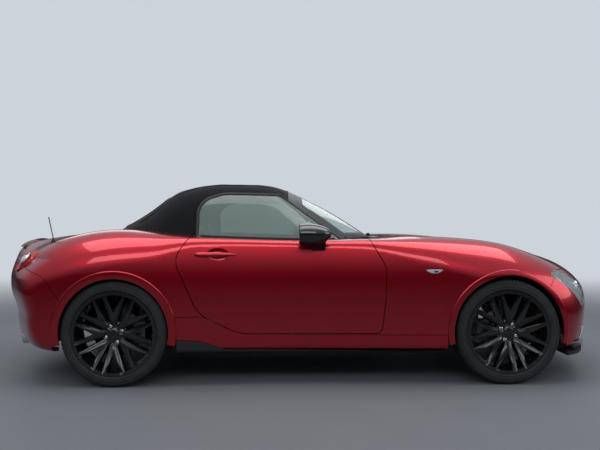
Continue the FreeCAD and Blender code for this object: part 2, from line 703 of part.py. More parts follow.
def build_wheel(turn):
    """Rim with spokes, hub and brake disc, for the right side, centred on its axle."""
    half = RIM_WIDTH / 2
    bead = RIM_RADIUS - 14
    barrel = RIM_RADIUS - 24
    rim = ring([(RIM_RADIUS, -half), (RIM_RADIUS, -half + 6), (bead + 2, -half + 10),
                (bead, -half + 34), (barrel + 3, -half + 50), (barrel + 3, half - 34),
                (bead + 2, half - 10), (RIM_RADIUS - 4, half - 6), (RIM_RADIUS - 4, half),
                (bead - 4, half), (barrel - 3, half - 34), (barrel - 3, -half + 46),
                (bead - 8, -half + 22), (bead - 6, -half)])
    hub = ring([(0, WHEEL_FACE_Y + 4), (26, WHEEL_FACE_Y + 4), (30, WHEEL_FACE_Y + 8),
                (HUB_RADIUS - 6, WHEEL_FACE_Y + 8), (HUB_RADIUS, WHEEL_FACE_Y + 14),
                (HUB_RADIUS, HUB_FACE_Y), (HUB_BORE, HUB_FACE_Y), (HUB_BORE, STUB_TIP_Y - 3),
                (0, STUB_TIP_Y - 3)])
    step = 2 * math.pi / SPOKE_PAIRS
    pairs = [spoke_pair(turn + step * i) for i in range(SPOKE_PAIRS)]
    wheel = rim.multiFuse([hub] + pairs)
    for i in range(BOLT_COUNT):
        a = turn + step * (0.5 + i * SPOKE_PAIRS / BOLT_COUNT)
        at = Vec(BOLT_CIRCLE / 2 * math.cos(a), WHEEL_FACE_Y - 5, BOLT_CIRCLE / 2 * math.sin(a))
        wheel = wheel.cut(Part.makeCylinder(BOLT_POCKET, 26, at, Vec(0, 1, 0)))
    rotor = ring([(HUB_BORE, HUB_FACE_Y + SEAT_GAP), (HUB_RADIUS - 4, HUB_FACE_Y + SEAT_GAP),
                  (HUB_RADIUS - 4, DISC_Y - 11),
                  (DISC_RADIUS, DISC_Y - 11), (DISC_RADIUS, DISC_Y + 11), (HUB_RADIUS - 14, DISC_Y + 11),
                  (HUB_RADIUS - 14, HUB_FACE_Y + 8), (HUB_BORE, HUB_FACE_Y + 8)])
    return wheel.removeSplitter(), rotor


def faceted_ring(profile, sides):
    """Ring of flat facets about the Y axis from (radius, y) corners, one edge line at its lowest point."""
    step = 2 * math.pi / sides
    rows = [[Vec(r * math.sin(step * i), y, -r * math.cos(step * i)) for r, y in profile]
            for i in range(sides)]
    facets = []
    for i in range(sides):
        for j in range(len(profile)):
            corners = [rows[i - 1][j - 1], rows[i - 1][j], rows[i][j], rows[i][j - 1]]
            facets.append(Part.Face(Part.makePolygon(corners + corners[:1])))
    return Part.Solid(Part.makeShell(facets))


def build_tyre():
    """Tyre with a flat tread, shoulders and bulged sidewalls that meet the rim's flanges."""
    half = TYRE_WIDTH / 2
    bead = (RIM_RADIUS + SEAT_GAP) / math.cos(math.pi / TYRE_SIDES)
    return faceted_ring([(bead, -RIM_WIDTH / 2 + 6), (bead + 26, -half), (TYRE_RADIUS - 12, -half + 5),
                         (TYRE_RADIUS, -half + 22), (TYRE_RADIUS, half - 22),
                         (TYRE_RADIUS - 12, half - 5), (bead + 26, half), (bead, RIM_WIDTH / 2 - 6)],
                        TYRE_SIDES)


def build_upright(caliper_side):
    """Upright with its stub axle and brake caliper, right side, centred on the axle."""
    inner_y = KINGPIN_Y - FRONT_TRACK / 2
    half = UPRIGHT_THICKNESS / 2
    plate = side_prism([(-34, -UPRIGHT_DROP, 10), (34, -UPRIGHT_DROP, 10), (62, 0, 40),
                        (34, UPRIGHT_RISE, 10), (-34, UPRIGHT_RISE, 10), (-62, 0, 40)],
                       -inner_y - half, -inner_y + half)
    stub = Part.makeCylinder(HUB_BORE - SEAT_GAP, -inner_y - STUB_TIP_Y, Vec(0, STUB_TIP_Y, 0),
                             Vec(0, 1, 0))
    arm = box(*sorted((caliper_side * 40, caliper_side * 132)), -inner_y - 12, -inner_y + 12, -30, 30)
    near, far = caliper_side * 98, caliper_side * 168
    body = box(min(near, far), max(near, far), DISC_Y - 34, DISC_Y + 40, -62, 62)
    slot = ring([(0, DISC_Y - 11 - MOVING_GAP), (DISC_RADIUS + MOVING_GAP, DISC_Y - 11 - MOVING_GAP),
                 (DISC_RADIUS + MOVING_GAP, DISC_Y + 11 + MOVING_GAP), (0, DISC_Y + 11 + MOVING_GAP)])
    return plate.multiFuse([stub, arm, body.cut(slot)])


def placed(shape, x, y, z=TYRE_RADIUS):
    """Copy of a shape moved to a place."""
    copy = shape.copy()
    copy.translate(Vec(x, y, z))
    return copy


tyre = build_tyre()
for name, x, track, turn in (("f", FRONT_AXLE_X, FRONT_TRACK, FRONT_WHEEL_TURN),
                             ("r", REAR_AXLE_X, REAR_TRACK, 0.0)):
    rim, rotor = build_wheel(math.radians(turn))
    pieces = [placed(rim, x, -track / 2), placed(rotor, x, -track / 2)]
    save("wheel_" + name + "r", *pieces)
    save("wheel_" + name + "l", *[mirrored(p) for p in pieces])
    here = placed(tyre, x, -track / 2)
    save("tyre_" + name + "r", here)
    save("tyre_" + name + "l", mirrored(here))

front_upright = placed(build_upright(-1), FRONT_AXLE_X, -FRONT_TRACK / 2)
rear_upright = placed(build_upright(1), REAR_AXLE_X, -REAR_TRACK / 2)
save("knuckle_r", front_upright)
save("knuckle_l", mirrored(front_upright))


def suspension(x, low, high, strut_shift, joint_gap):
    """Arms and spring strut of one axle end, whose ball joints stand on the kingpin's line."""
    reach_y = KINGPIN_Y
    arms = [bar((x, -reach_y, low - BALL_RADIUS),
                (x, -reach_y, TYRE_RADIUS - UPRIGHT_DROP - joint_gap), BALL_RADIUS),
            bar((x, -reach_y, TYRE_RADIUS + UPRIGHT_RISE + joint_gap),
                (x, -reach_y, high + BALL_RADIUS), BALL_RADIUS)]
    for z, inner_y, spread in ((low, 300, 95), (high, 430, 70)):
        for side in (-1, 1):
            arms.append(bar((x + side * spread, -inner_y, z), (x + side * 12, -reach_y, z), 13))
        arms.append(bar((x - spread - 16, -inner_y, z), (x + spread + 16, -inner_y, z), 19))
    foot, top = Vec(x + strut_shift, -560, low), Vec(x + strut_shift * 0.1, -496, 600)
    arms.append(bar(foot, foot + (top - foot) * 0.5, 20))
    arms.append(bar(foot + (top - foot) * 0.4, top, 46))
    return arms


def towers(x, bottom):
    """Posts and top bridge that carry the upper arms and strut on both sides."""
    pieces = [box(x - 90, x + 90, -460, 460, bottom, bottom + 28)]
    for side in (-1, 1):
        y0, y1 = side * 430 - 30, side * 430 + 30
        pieces += [box(x - 90, x - 60, y0, y1, bottom, 620), box(x + 60, x + 90, y0, y1, bottom, 620),
                   box(x - 90, x + 90, y0, y1, 590, 620)]
    return pieces


front_arms = suspension(FRONT_AXLE_X, 190, 440, 0, MOVING_GAP)
front_arms += [mirrored(a) for a in front_arms]
front_cross = box(FRONT_AXLE_X - 150, FRONT_AXLE_X + 150, -320, 320, 165, 215)
front_towers = towers(FRONT_AXLE_X, 165)
rack = bar((FRONT_AXLE_X - 190, -400, 203), (FRONT_AXLE_X - 190, 400, 203), 22)
rack_feet = [box(FRONT_AXLE_X - 215, FRONT_AXLE_X - 140, s * 260 - 20, s * 260 + 20, 176, 203)
             for s in (-1, 1)]
front_suspension = front_cross.multiFuse(front_arms + front_towers + [rack] + rack_feet)
rear_arms = suspension(REAR_AXLE_X, 190, 440, -56, 0)
rear_arms += [mirrored(a) for a in rear_arms]
rear_cross = box(REAR_AXLE_X - 150, REAR_AXLE_X + 150, -320, 320, 200, 228)
rear_towers = towers(REAR_AXLE_X, 200)
rear_suspension = rear_cross.multiFuse(rear_arms + rear_towers)
save("front_suspension", front_suspension)
save("rear_suspension", rear_suspension)
save("rear_uprights", rear_upright, mirrored(rear_upright))

# Drive
engine = box(640, 1110, -200, 200, 230, 700)
save("engine_block", engine)
gearbox = Part.makeLoft([Part.Wire(Part.makeCircle(r, Vec(x, 0, 275), Vec(1, 0, 0))) for x, r in
                         ((640, 94), (540, 84), (300, 70), (100, 55), (-60, 50))], True, True)
shaft = bar((-60, 0, 275), (-960, 0, 275), 30)
diff = box(-1190, -960, -110, 110, 232, 388)
half_shafts = [bar((REAR_AXLE_X, s * 110, TYRE_RADIUS), (REAR_AXLE_X, s * (KINGPIN_Y - 20), TYRE_RADIUS), 15)
               for s in (-1, 1)]
save("driveline", gearbox.multiFuse([shaft, diff] + half_shafts))
muffler = side_prism([(-1700, 196, 50), (-1500, 196, 50), (-1500, 330, 50), (-1700, 330, 50)], -540, 300)
tail_pipes = []
for y in TIP_Y:
    tip_x = tail_edge(-y, TIP_Z) - TIP_REACH
    bore = Part.makeCylinder(TIP_RADIUS - 3, 90, Vec(tip_x - 1, y, TIP_Z), Vec(1, 0, 0))
    tail_pipe = Part.makeCylinder(TIP_RADIUS, -1690 - tip_x, Vec(tip_x, y, TIP_Z), Vec(1, 0, 0))
    tail_pipes.append(tail_pipe.cut(bore))
front_pipe = pipe([(300, -62, 172), (-1300, -62, 172), (-1400, -62, 235), (-1510, -62, 250)], 24)
save("exhaust", muffler.multiFuse(tail_pipes + [front_pipe]))
save("radiator", box(1640, 1680, -310, 310, 250, 520))

# Structure: cabin tub, front frame and boot tub
def pair(x0, x1, y, width, z0, z1):
    """Blocks on both sides of the car, centred at y."""
    return [box(x0, x1, s * y - width / 2, s * y + width / 2, z0, z1) for s in (-1, 1)]


tunnel = box(-790, 532, -110, 110, 160, 392).cut(box(-800, 570, -98, 98, 150, 380))
cabin_tub = box(-690, 520, -760, 760, 160, 172).multiFuse(
    [box(-900, -680, -490, 490, 160, 172), box(508, 520, -690, 690, 160, 800),
     box(-800, -788, -490, 490, 160, 770), box(-800, -788, -690, 690, 570, 770)]
    + pair(-700, 836, SILL_BOX_Y - SILL_BOX_WIDTH / 2, SILL_BOX_WIDTH, 172, 296)
    + pair(512, 552, 735, 100, 296, 770)
    + pair(-792, -766, 740, 110, 575, 775)
    + pair(-640, -210, SEAT_Y - 150, 30, 170, 231.7) + pair(-640, -210, SEAT_Y + 150, 30, 170, 231.7))
cabin_tub = cabin_tub.cut(box(-1300, 600, -98, 98, 150, 380)).fuse(tunnel)
save("floor_pan", cabin_tub)

front_frame = box(1700, 1730, -400, 400, 400, 490).multiFuse(
    pair(520 + SEAT_GAP, 1710, 350, 60, 400, 470)
    + pair(1640, 1680, 350, 60, 225, 410) + [box(1640, 1680, -380, 380, 225, 250)])
save("front_frame", front_frame)

boot_tub = box(-1780, -800 - SEAT_GAP, -390, 390, 400, 412).multiFuse(
    pair(-1780, -800 - SEAT_GAP, 384, 12, 400, 700) + [box(-1780, -1768, -390, 390, 400, 640)]
    + pair(-1752, -800 - SEAT_GAP, 348, 60, 340, 402) + [box(-1766, -1746, -440, 440, 330, 430)])
save("boot_tub", boot_tub)


def wheel_liner(x, y_inner, y_outer):
    """Arched liner over a wheel."""
    drum = Part.makeCylinder(ARCH_RADIUS + 10, y_outer - y_inner, Vec(x, -y_outer, ARCH_Z), Vec(0, 1, 0))
    drum = drum.cut(Part.makeCylinder(ARCH_RADIUS + 2, y_outer - y_inner, Vec(x, -y_outer, ARCH_Z),
                                      Vec(0, 1, 0)))
    drum = drum.cut(box(x - 500, x + 500, -1000, 0, -100, ARCH_Z + 20))
    return drum.common(inner)


liners = [wheel_liner(FRONT_AXLE_X, 500, 850), wheel_liner(REAR_AXLE_X, 500, 850)]
save("wheel_liners", *(liners + [mirrored(l) for l in liners]))

# Cabin furniture
seat_side = [(-180, 232, 50), (-220, 395, 60), (-540, 350, 60), (-640, 800, 60), (-660, 965, 40),
             (-738, 972, 40), (-742, 800, 60), (-690, 300, 60), (-660, 232, 40)]
seat_front = [(-236, 231, 40), (-244, 520, 80), (-225, 740, 90), (-125, 830, 60), (-118, 985, 50),
              (118, 985, 50), (125, 830, 60), (225, 740, 90), (244, 520, 80), (236, 231, 40)]
seat = side_prism(seat_side, -300, 300).common(front_prism(seat_front, -900, 0))
save("seats", placed(seat, 0, SEAT_Y, 0), placed(seat, 0, -SEAT_Y, 0))

dash_side = [(508, 560, 0), (508, 812, 20), (420, 832, 40), (300, 812, 60), (215, 735, 50),
             (250, 640, 60), (330, 560, 40)]
dash_plan = symmetric([(200, -676, 0), (300, -676, 0), (400, -646, 0), (510, -618, 0)])
dash = side_prism(dash_side, -680, 680).common(plan_prism(dash_plan, 500, 900))
wheel_axis = Vec(-math.cos(math.radians(COLUMN_TILT)), 0, math.sin(math.radians(COLUMN_TILT)))
wheel_at = Vec(STEER_X, STEER_Y, STEER_Z)
column = bar(wheel_at - wheel_axis * 30, wheel_at - wheel_axis * 330, 26)
pin = bar(wheel_at - wheel_axis * 60, wheel_at + wheel_axis * 8, 9.7)
binnacle = side_prism([(300, 780, 20), (296, 842, 30), (200, 850, 30), (180, 800, 30), (230, 750, 20)],
                      STEER_Y - 140, STEER_Y + 140)
save("dashboard", dash.multiFuse([column, pin, binnacle]))
torus = Part.makeTorus(STEER_RADIUS, 15, wheel_at, wheel_axis)
hub_front = Part.makeCylinder(62, 34, wheel_at - wheel_axis * 22, wheel_axis)
bore = Part.makeCylinder(10, 34, wheel_at - wheel_axis * 22, wheel_axis)
across_wheel = Vec(0, 1, 0)
down_wheel = wheel_axis.cross(across_wheel)
arms = []
for direction in (across_wheel, across_wheel * -1, down_wheel):
    end = wheel_at + direction * (STEER_RADIUS - 4)
    arms.append(bar(wheel_at - wheel_axis * 4 + direction * 40, end, 11))
steering_wheel = torus.multiFuse([hub_front] + arms).cut(bore)
save("steering_wheel", steering_wheel)

console_side = [(330, 392, 0), (330, 560, 60), (150, 500, 80), (-420, 470, 40), (-740, 520, 40),
                (-740, 392, 0)]
console = side_prism(console_side, -85, 85)
lever = bar((60, 0, 480), (40, 0, 590), 9).multiFuse([Part.makeSphere(24, Vec(40, 0, 600))])
save("console", console.fuse(lever))

hoop = pipe([(-775, -560, 804), (-775, -545, 940), (-775, -490, 1000), (-775, -250, 1000),
             (-775, -195, 940), (-775, -180, 804)], 22)
cross_tube = bar((-775, -690, 804), (-775, 690, 804), 24)
save("roll_hoops", hoop.multiFuse([mirrored(hoop), cross_tube]))

# Outside pieces
cap = Part.makeSphere(1, Vec(0, 0, 0))
stretch = FreeCAD.Matrix()
stretch.scale(Vec(MIRROR_LENGTH, MIRROR_WIDTH / 2, MIRROR_HEIGHT / 2))
cap = cap.transformGeometry(stretch)
cap.translate(Vec(MIRROR_X, -MIRROR_Y, MIRROR_Z))
cap = cap.cut(box(-400, MIRROR_REAR_X, -1100, -700, 700, 1000))
foot = front_prism([(-MIRROR_Y - 20, MIRROR_Z - 40, 10), (-MIRROR_Y + 60, MIRROR_Z - 14, 10),
                    (-740, 820, 0), (-740, 780, 0), (-MIRROR_Y + 40, 800, 20)], 60, 140)
mirror_r = cap.fuse(foot).cut(seat_form)
mirror_r = max(mirror_r.Solids, key=lambda s: s.Volume)
save("mirror_r", mirror_r)
save("mirror_l", mirrored(mirror_r))

aerial_z = height(body_field, AERIAL_X, AERIAL_Y)
root = Part.makeCone(17, 7, 26, Vec(AERIAL_X, -AERIAL_Y, aerial_z - 8)).cut(seat_form)
mast = bar((AERIAL_X, -AERIAL_Y, aerial_z + 12), (AERIAL_X - 30, -AERIAL_Y, aerial_z + 150), 3)
save("aerial", root.fuse(mast))
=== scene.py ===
"""Visual model of a small two-seat roadster with its soft top up.

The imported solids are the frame. This file smooths and finishes them, adds the
parts that only looks call for, and sets up the studio and the camera.
"""

import json
import logging
import math
import time
from contextlib import contextmanager
from dataclasses import dataclass, field
from enum import Enum
from typing import Callable, Iterator, Sequence

import bpy
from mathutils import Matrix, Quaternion, Vector

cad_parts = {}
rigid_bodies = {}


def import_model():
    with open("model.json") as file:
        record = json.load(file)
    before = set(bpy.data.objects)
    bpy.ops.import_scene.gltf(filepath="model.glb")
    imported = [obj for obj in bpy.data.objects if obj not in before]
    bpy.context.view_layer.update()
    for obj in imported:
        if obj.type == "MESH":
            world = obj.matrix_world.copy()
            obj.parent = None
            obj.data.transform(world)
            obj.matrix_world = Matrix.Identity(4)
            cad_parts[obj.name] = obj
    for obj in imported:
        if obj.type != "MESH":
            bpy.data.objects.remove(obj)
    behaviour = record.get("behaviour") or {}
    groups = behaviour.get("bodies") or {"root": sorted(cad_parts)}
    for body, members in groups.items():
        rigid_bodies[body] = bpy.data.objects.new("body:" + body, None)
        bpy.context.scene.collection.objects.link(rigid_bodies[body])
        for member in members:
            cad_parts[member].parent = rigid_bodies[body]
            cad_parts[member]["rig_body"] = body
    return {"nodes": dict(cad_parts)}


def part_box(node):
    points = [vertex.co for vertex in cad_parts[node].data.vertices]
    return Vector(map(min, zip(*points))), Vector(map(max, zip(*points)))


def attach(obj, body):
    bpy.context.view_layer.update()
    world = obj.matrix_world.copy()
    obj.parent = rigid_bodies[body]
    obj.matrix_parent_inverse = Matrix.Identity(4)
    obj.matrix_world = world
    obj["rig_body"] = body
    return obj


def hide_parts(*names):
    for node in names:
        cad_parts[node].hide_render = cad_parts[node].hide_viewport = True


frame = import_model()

logging.basicConfig(level=logging.INFO, format="%(message)s")
log = logging.getLogger("roadster")

Colour = tuple[float, float, float]
Point = tuple[float, float, float]
Profile = Sequence[tuple[float, float]]
Piece = bpy.types.Object
Socket = bpy.types.NodeSocket
FaceTest = Callable[[Vector, Vector], bool]

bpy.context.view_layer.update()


class Side(Enum):
    """The car's two sides, each with its sign across the car and its letter."""

    RIGHT = (-1, "r")
    LEFT = (1, "l")

    @property
    def sign(self) -> int:
        """Sign of Y on this side."""
        return self.value[0]

    @property
    def letter(self) -> str:
        """Letter that ends the names of this side's nodes."""
        return self.value[1]


class Slot(Enum):
    """Material slots of the record."""

    PAINT = "body_paint"
    GLOSS = "black_gloss"
    PLASTIC = "black_plastic"
    LAMP = "lamp_glass"
    TAIL = "tail_lens"
    GLASS = "window_glass"
    CLOTH = "roof_cloth"
    SEAT = "seat_cover"
    WHEEL = "wheel_black"
    TYRE = "tyre"


def srgb(red: int, green: int, blue: int) -> Colour:
    """Linear colour of an 8-bit display colour.

    Args:
        red: Red, from 0 to 255.
        green: Green, from 0 to 255.
        blue: Blue, from 0 to 255.

    Returns:
        The three linear values.
    """
    def linear(value: int) -> float:
        """Linear value of one of the three."""
        share = value / 255
        return share / 12.92 if share <= 0.04045 else ((share + 0.055) / 1.055) ** 2.4
    return linear(red), linear(green), linear(blue)


def toned(colour: Colour, gain: float, lift: float = 0.0) -> Colour:
    """A colour made lighter or darker.

    Args:
        colour: The linear colour.
        gain: Factor on each value.
        lift: What is added to each value.

    Returns:
        The new linear colour.
    """
    red, green, blue = (min(1.0, value * gain + lift) for value in colour)
    return red, green, blue


class Bench:
    """A node tree, and short ways to add nodes to it."""

    def __init__(self, tree: bpy.types.NodeTree) -> None:
        """Takes a tree and adds its coordinates.

        Args:
            tree: Tree of a material or of the world.
        """
        self.tree = tree
        self.coordinates = tree.nodes.new("ShaderNodeTexCoord").outputs

    def add(self, kind: str, inputs: dict[str | int, Socket | float | tuple], out: str | int = 0,
            **settings: object) -> Socket:
        """Adds one node.

        Args:
            kind: Type of the node, without its first word ShaderNode.
            inputs: Sockets to join to its inputs, or constant values for them.
            out: The output that is wanted.
            **settings: The node's own settings.

        Returns:
            The output.
        """
        node = self.tree.nodes.new("ShaderNode" + kind)
        for key, value in settings.items():
            setattr(node, key, value)
        for key, value in inputs.items():
            self.put(node.inputs[key], value)
        return node.outputs[out]

    def put(self, socket: Socket, value: Socket | float | tuple) -> None:
        """Joins an output to a socket, or sets a constant on it.

        Args:
            socket: The input.
            value: An output, or a constant.
        """
        if isinstance(value, Socket):
            self.tree.links.new(value, socket)
        else:
            socket.default_value = value

    def noise(self, scale: float, detail: float = 2.0) -> Socket:
        """Noise of a number of cells per metre, with its octaves, on Object coordinates."""
        return self.add("TexNoise", {"Scale": scale, "Detail": detail,
                                     "Vector": self.coordinates["Object"]}, "Fac")

    def cells(self, scale: float) -> Socket:
        """Voronoi cell distance on Object coordinates."""
        return self.add("TexVoronoi", {"Scale": scale, "Vector": self.coordinates["Object"]},
                        "Distance")

    def bands(self, scale: float, across: str, source: str = "Object", wobble: float = 0.0
              ) -> Socket:
        """Straight sine bands.

        Args:
            scale: Wave scale.
            across: Axis that the bands lie across.
            source: Coordinates, Object or UV.
            wobble: Distortion.

        Returns:
            The factor output.
        """
        return self.add("TexWave", {"Scale": scale, "Distortion": wobble,
                                    "Vector": self.coordinates[source]}, "Fac",
                        bands_direction=across)

    def math(self, operation: str, first: Socket, second: Socket | float) -> Socket:
        """One math step on a socket and a socket or number."""
        return self.add("Math", {0: first, 1: second}, "Value", operation=operation)

    def span(self, source: Socket, low: float, high: float) -> Socket:
        """A 0 to 1 signal spread over another range."""
        return self.add("MapRange", {"Value": source, "To Min": low, "To Max": high}, "Result")

    def ramp(self, source: Socket, *stops: tuple[float, Colour]) -> Socket:
        """Colours along a signal.

        Args:
            source: The signal, from 0 to 1.
            *stops: Places and their colours.

        Returns:
            The colour output.
        """
        output = self.add("ValToRGB", {"Fac": source}, "Color")
        band = output.node.color_ramp.elements
        while len(band) < len(stops):
            band.new(0.5)
        for element, (place, colour) in zip(band, stops):
            element.position = place
            element.color = (*colour, 1.0)
        return output


class ShaderBench(Bench):
    """One material with its shader."""

    def __init__(self, name: str) -> None:
        """Makes the material with an empty Principled shader.

        Args:
            name: Name of the material.
        """
        self.material = bpy.data.materials.new(name)
        self.material.use_nodes = True
        super().__init__(self.material.node_tree)
        self.shader = self.tree.nodes["Principled BSDF"]

    def set(self, **values: Socket | float) -> None:
        """Drives the shader's own sockets or sets constants on them.

        Args:
            **values: Socket names with underscores for spaces, and outputs or numbers.
        """
        for key, value in values.items():
            self.put(self.shader.inputs[key.replace("_", " ")], value)

    def bump(self, height: Socket, strength: float, distance: float) -> None:
        """Raises the surface by a height signal.

        Args:
            height: The signal.
            strength: Share of the effect.
            distance: Height in metres at a signal of 1.
        """
        self.set(Normal=self.add("Bump", {"Strength": strength, "Distance": distance,
                                          "Height": height}, "Normal"))


@dataclass(frozen=True)
class Finish:
    """What every finish has: a name, and a material that is made once."""

    name: str

    def material(self) -> bpy.types.Material:
        """The finish's material, made at the first call.

        Returns:
            The material.
        """
        known = bpy.data.materials.get(self.name)
        if known is not None:
            return known
        bench = ShaderBench(self.name)
        self.dress(bench)
        return bench.material

    def dress(self, bench: ShaderBench) -> None:
        """Fills the material. Each finish has its own."""
        raise NotImplementedError


@dataclass(frozen=True)
class FlakePaint(Finish):
    """Metallic paint under clear lacquer."""

    deep: Colour = srgb(150, 3, 22)
    bright: Colour = srgb(214, 12, 46)

    def dress(self, bench: ShaderBench) -> None:
        """Fine flakes in the colour, and the faint wave of sprayed lacquer.

        Args:
            bench: Bench of the material.
        """
        bench.set(Base_Color=bench.ramp(bench.cells(1800), (0.0, self.bright), (0.7, self.deep)),
                  Roughness=bench.span(bench.noise(900), 0.26, 0.36),
                  Metallic=0.9, Coat_Weight=1.0, Coat_Roughness=0.02, Coat_IOR=1.45)
        bench.bump(bench.noise(70, 1), 0.04, 0.0008)


@dataclass(frozen=True)
class GlossPiece(Finish):
    """Painted or moulded piece with a hard gloss."""

    colour: Colour = srgb(14, 14, 16)
    roughness: float = 0.12
    coat: float = 0.6

    def dress(self, bench: ShaderBench) -> None:
        """Nearly even colour with faint polishing haze.

        Args:
            bench: Bench of the material.
        """
        lift = toned(self.colour, 1.5, 0.002)
        bench.set(Base_Color=bench.ramp(bench.noise(55, 3), (0.3, self.colour), (0.8, lift)),
                  Roughness=bench.span(bench.noise(140), self.roughness * 0.8,
                                       self.roughness * 1.3),
                  Coat_Weight=self.coat, Coat_Roughness=0.03)
        bench.bump(bench.noise(120, 1), 0.03, 0.0005)


@dataclass(frozen=True)
class MouldedPlastic(Finish):
    """Matt grained plastic."""

    colour: Colour
    roughness: float
    grain: float

    def dress(self, bench: ShaderBench) -> None:
        """Fine leather-like mould grain.

        Args:
            bench: Bench of the material.
        """
        lift = toned(self.colour, 1.35, 0.003)
        cells = bench.cells(self.grain)
        bench.set(Base_Color=bench.ramp(bench.noise(24, 4), (0.3, self.colour), (0.75, lift)),
                  Roughness=bench.span(cells, self.roughness * 0.85, self.roughness * 1.15),
                  Specular_IOR_Level=0.4)
        bench.bump(cells, 0.25, 0.0004)


@dataclass(frozen=True)
class Rubber(Finish):
    """Tyre and seal rubber."""

    colour: Colour
    roughness: float = 0.7

    def dress(self, bench: ShaderBench) -> None:
        """Slight bloom and fine mould texture.

        Args:
            bench: Bench of the material.
        """
        bloom = toned(self.colour, 1.7)
        bench.set(Base_Color=bench.ramp(bench.noise(18, 5), (0.35, self.colour), (0.8, bloom)),
                  Roughness=bench.span(bench.noise(220, 2), self.roughness - 0.1,
                                       self.roughness + 0.12),
                  Specular_IOR_Level=0.35)
        bench.bump(bench.noise(700, 2), 0.2, 0.0003)


@dataclass(frozen=True)
class TopCloth(Finish):
    """Woven hood cloth on its own UV map, which is in metres."""

    dark: Colour = srgb(8, 9, 12)
    light: Colour = srgb(19, 20, 25)
    threads: float = 190.0

    def dress(self, bench: ShaderBench) -> None:
        """Warp and weft threads, soft mottling and cloth sheen.

        Args:
            bench: Bench of the material.
        """
        weave = bench.math("MULTIPLY", *(bench.bands(self.threads, across, "UV", 0.4)
                                         for across in ("X", "Y")))
        mottle = bench.math("MULTIPLY", bench.noise(14, 5), 0.55)
        tone = bench.math("ADD", bench.math("MULTIPLY", weave, 0.6), mottle)
        bench.set(Base_Color=bench.ramp(tone, (0.1, self.dark), (0.95, self.light)),
                  Roughness=bench.span(weave, 0.95, 0.78),
                  Sheen_Weight=0.05, Sheen_Roughness=0.45, Specular_IOR_Level=0.15)
        bench.bump(weave, 0.5, 0.0005)


@dataclass(frozen=True)
class ClearGlass(Finish):
    """Window glass, which light passes with a tint."""

    tint: Colour
    clear: float

    def dress(self, bench: ShaderBench) -> None:
        """Thin glass: part see-through, part reflecting, with a faint film of dust.

        Args:
            bench: Bench of the material.
        """
        dusty = toned(self.tint, 0.94)
        bench.set(Base_Color=bench.ramp(bench.noise(9, 3), (0.2, self.tint), (0.9, dusty)),
                  Roughness=bench.span(bench.noise(30, 4), 0.0, 0.04),
                  Transmission_Weight=self.clear, IOR=1.12, Specular_IOR_Level=1.0,
                  Coat_Weight=0.5, Coat_Roughness=0.01)


@dataclass(frozen=True)
class Lens(Finish):
    """Moulded lamp lens."""

    tint: Colour = srgb(240, 242, 245)
    flutes: float = 0.0
    clear: float = 0.92

    def dress(self, bench: ShaderBench) -> None:
        """Clear plastic, fluted if asked.

        Args:
            bench: Bench of the material.
        """
        dull = toned(self.tint, 0.9)
        bench.set(Base_Color=bench.ramp(bench.noise(16, 2), (0.2, self.tint), (0.9, dull)),
                  Roughness=bench.span(bench.noise(60, 2), 0.0, 0.05),
                  Transmission_Weight=self.clear, IOR=1.15, Coat_Weight=0.8,
                  Coat_Roughness=0.01)
        if self.flutes:
            bench.bump(bench.bands(self.flutes, "Y"), 0.4, 0.001)


@dataclass(frozen=True)
class Metal(Finish):
    """Bare, cast or plated metal."""

    colour: Colour
    roughness: float
    grain: float
    depth: float = 0.0004

    def dress(self, bench: ShaderBench) -> None:
        """Metal with a fine grain.

        Args:
            bench: Bench of the material.
        """
        grain = bench.noise(self.grain, 4)
        dull = toned(self.colour, 0.72)
        bench.set(Base_Color=bench.ramp(grain, (0.25, dull), (0.7, self.colour)),
                  Roughness=bench.span(grain, self.roughness * 0.75, self.roughness * 1.3),
                  Metallic=1.0)
        bench.bump(grain, 0.2, self.depth)


@dataclass(frozen=True)
class Hide(Finish):
    """Leather with its grain and a soft gloss on the high spots."""

    colour: Colour = srgb(33, 32, 33)

    def dress(self, bench: ShaderBench) -> None:
        """Pebbled grain with fine creases.

        Args:
            bench: Bench of the material.
        """
        grain = bench.cells(420)
        tone = bench.math("ADD", bench.math("MULTIPLY", grain, 0.5), bench.noise(11, 4))
        lift = toned(self.colour, 1.9)
        bench.set(Base_Color=bench.ramp(tone, (0.3, self.colour), (1.0, lift)),
                  Roughness=bench.span(grain, 0.42, 0.62),
                  Specular_IOR_Level=0.45, Sheen_Weight=0.08)
        bench.bump(grain, 0.35, 0.0006)


@dataclass(frozen=True)
class Carpet(Finish):
    """Short pile carpet and felt liner."""

    colour: Colour = srgb(24, 24, 26)

    def dress(self, bench: ShaderBench) -> None:
        """Tufted pile.

        Args:
            bench: Bench of the material.
        """
        pile = bench.noise(520, 3)
        lift = toned(self.colour, 2.2)
        bench.set(Base_Color=bench.ramp(pile, (0.3, self.colour), (0.75, lift)),
                  Roughness=bench.span(pile, 0.85, 1.0),
                  Sheen_Weight=0.3, Specular_IOR_Level=0.15)
        bench.bump(pile, 0.6, 0.0015)


PAINT = FlakePaint("lacquered_red")
GLOSS_BLACK = GlossPiece("gloss_black")
WHEEL_BLACK = GlossPiece("wheel_gloss_black", srgb(11, 11, 13), 0.26, 0.4)
DARK_LENS = GlossPiece("dark_lens", srgb(9, 11, 15), 0.04, 1.0)
SATIN_PLASTIC = MouldedPlastic("satin_black_plastic", srgb(20, 20, 22), 0.42, 1400.0)
LINER_PLASTIC = MouldedPlastic("arch_liner_plastic", srgb(12, 12, 13), 0.85, 500.0)
CABIN_PLASTIC = MouldedPlastic("cabin_plastic", srgb(27, 27, 29), 0.5, 700.0)
UNDER_PAINT = MouldedPlastic("underbody_paint", srgb(24, 24, 26), 0.7, 260.0)
TYRE_RUBBER = Rubber("tyre_rubber", srgb(34, 35, 37))
SEAL_RUBBER = Rubber("seal_rubber", srgb(13, 13, 14), 0.5)
WEBBING = Rubber("belt_webbing", srgb(20, 20, 22), 0.8)
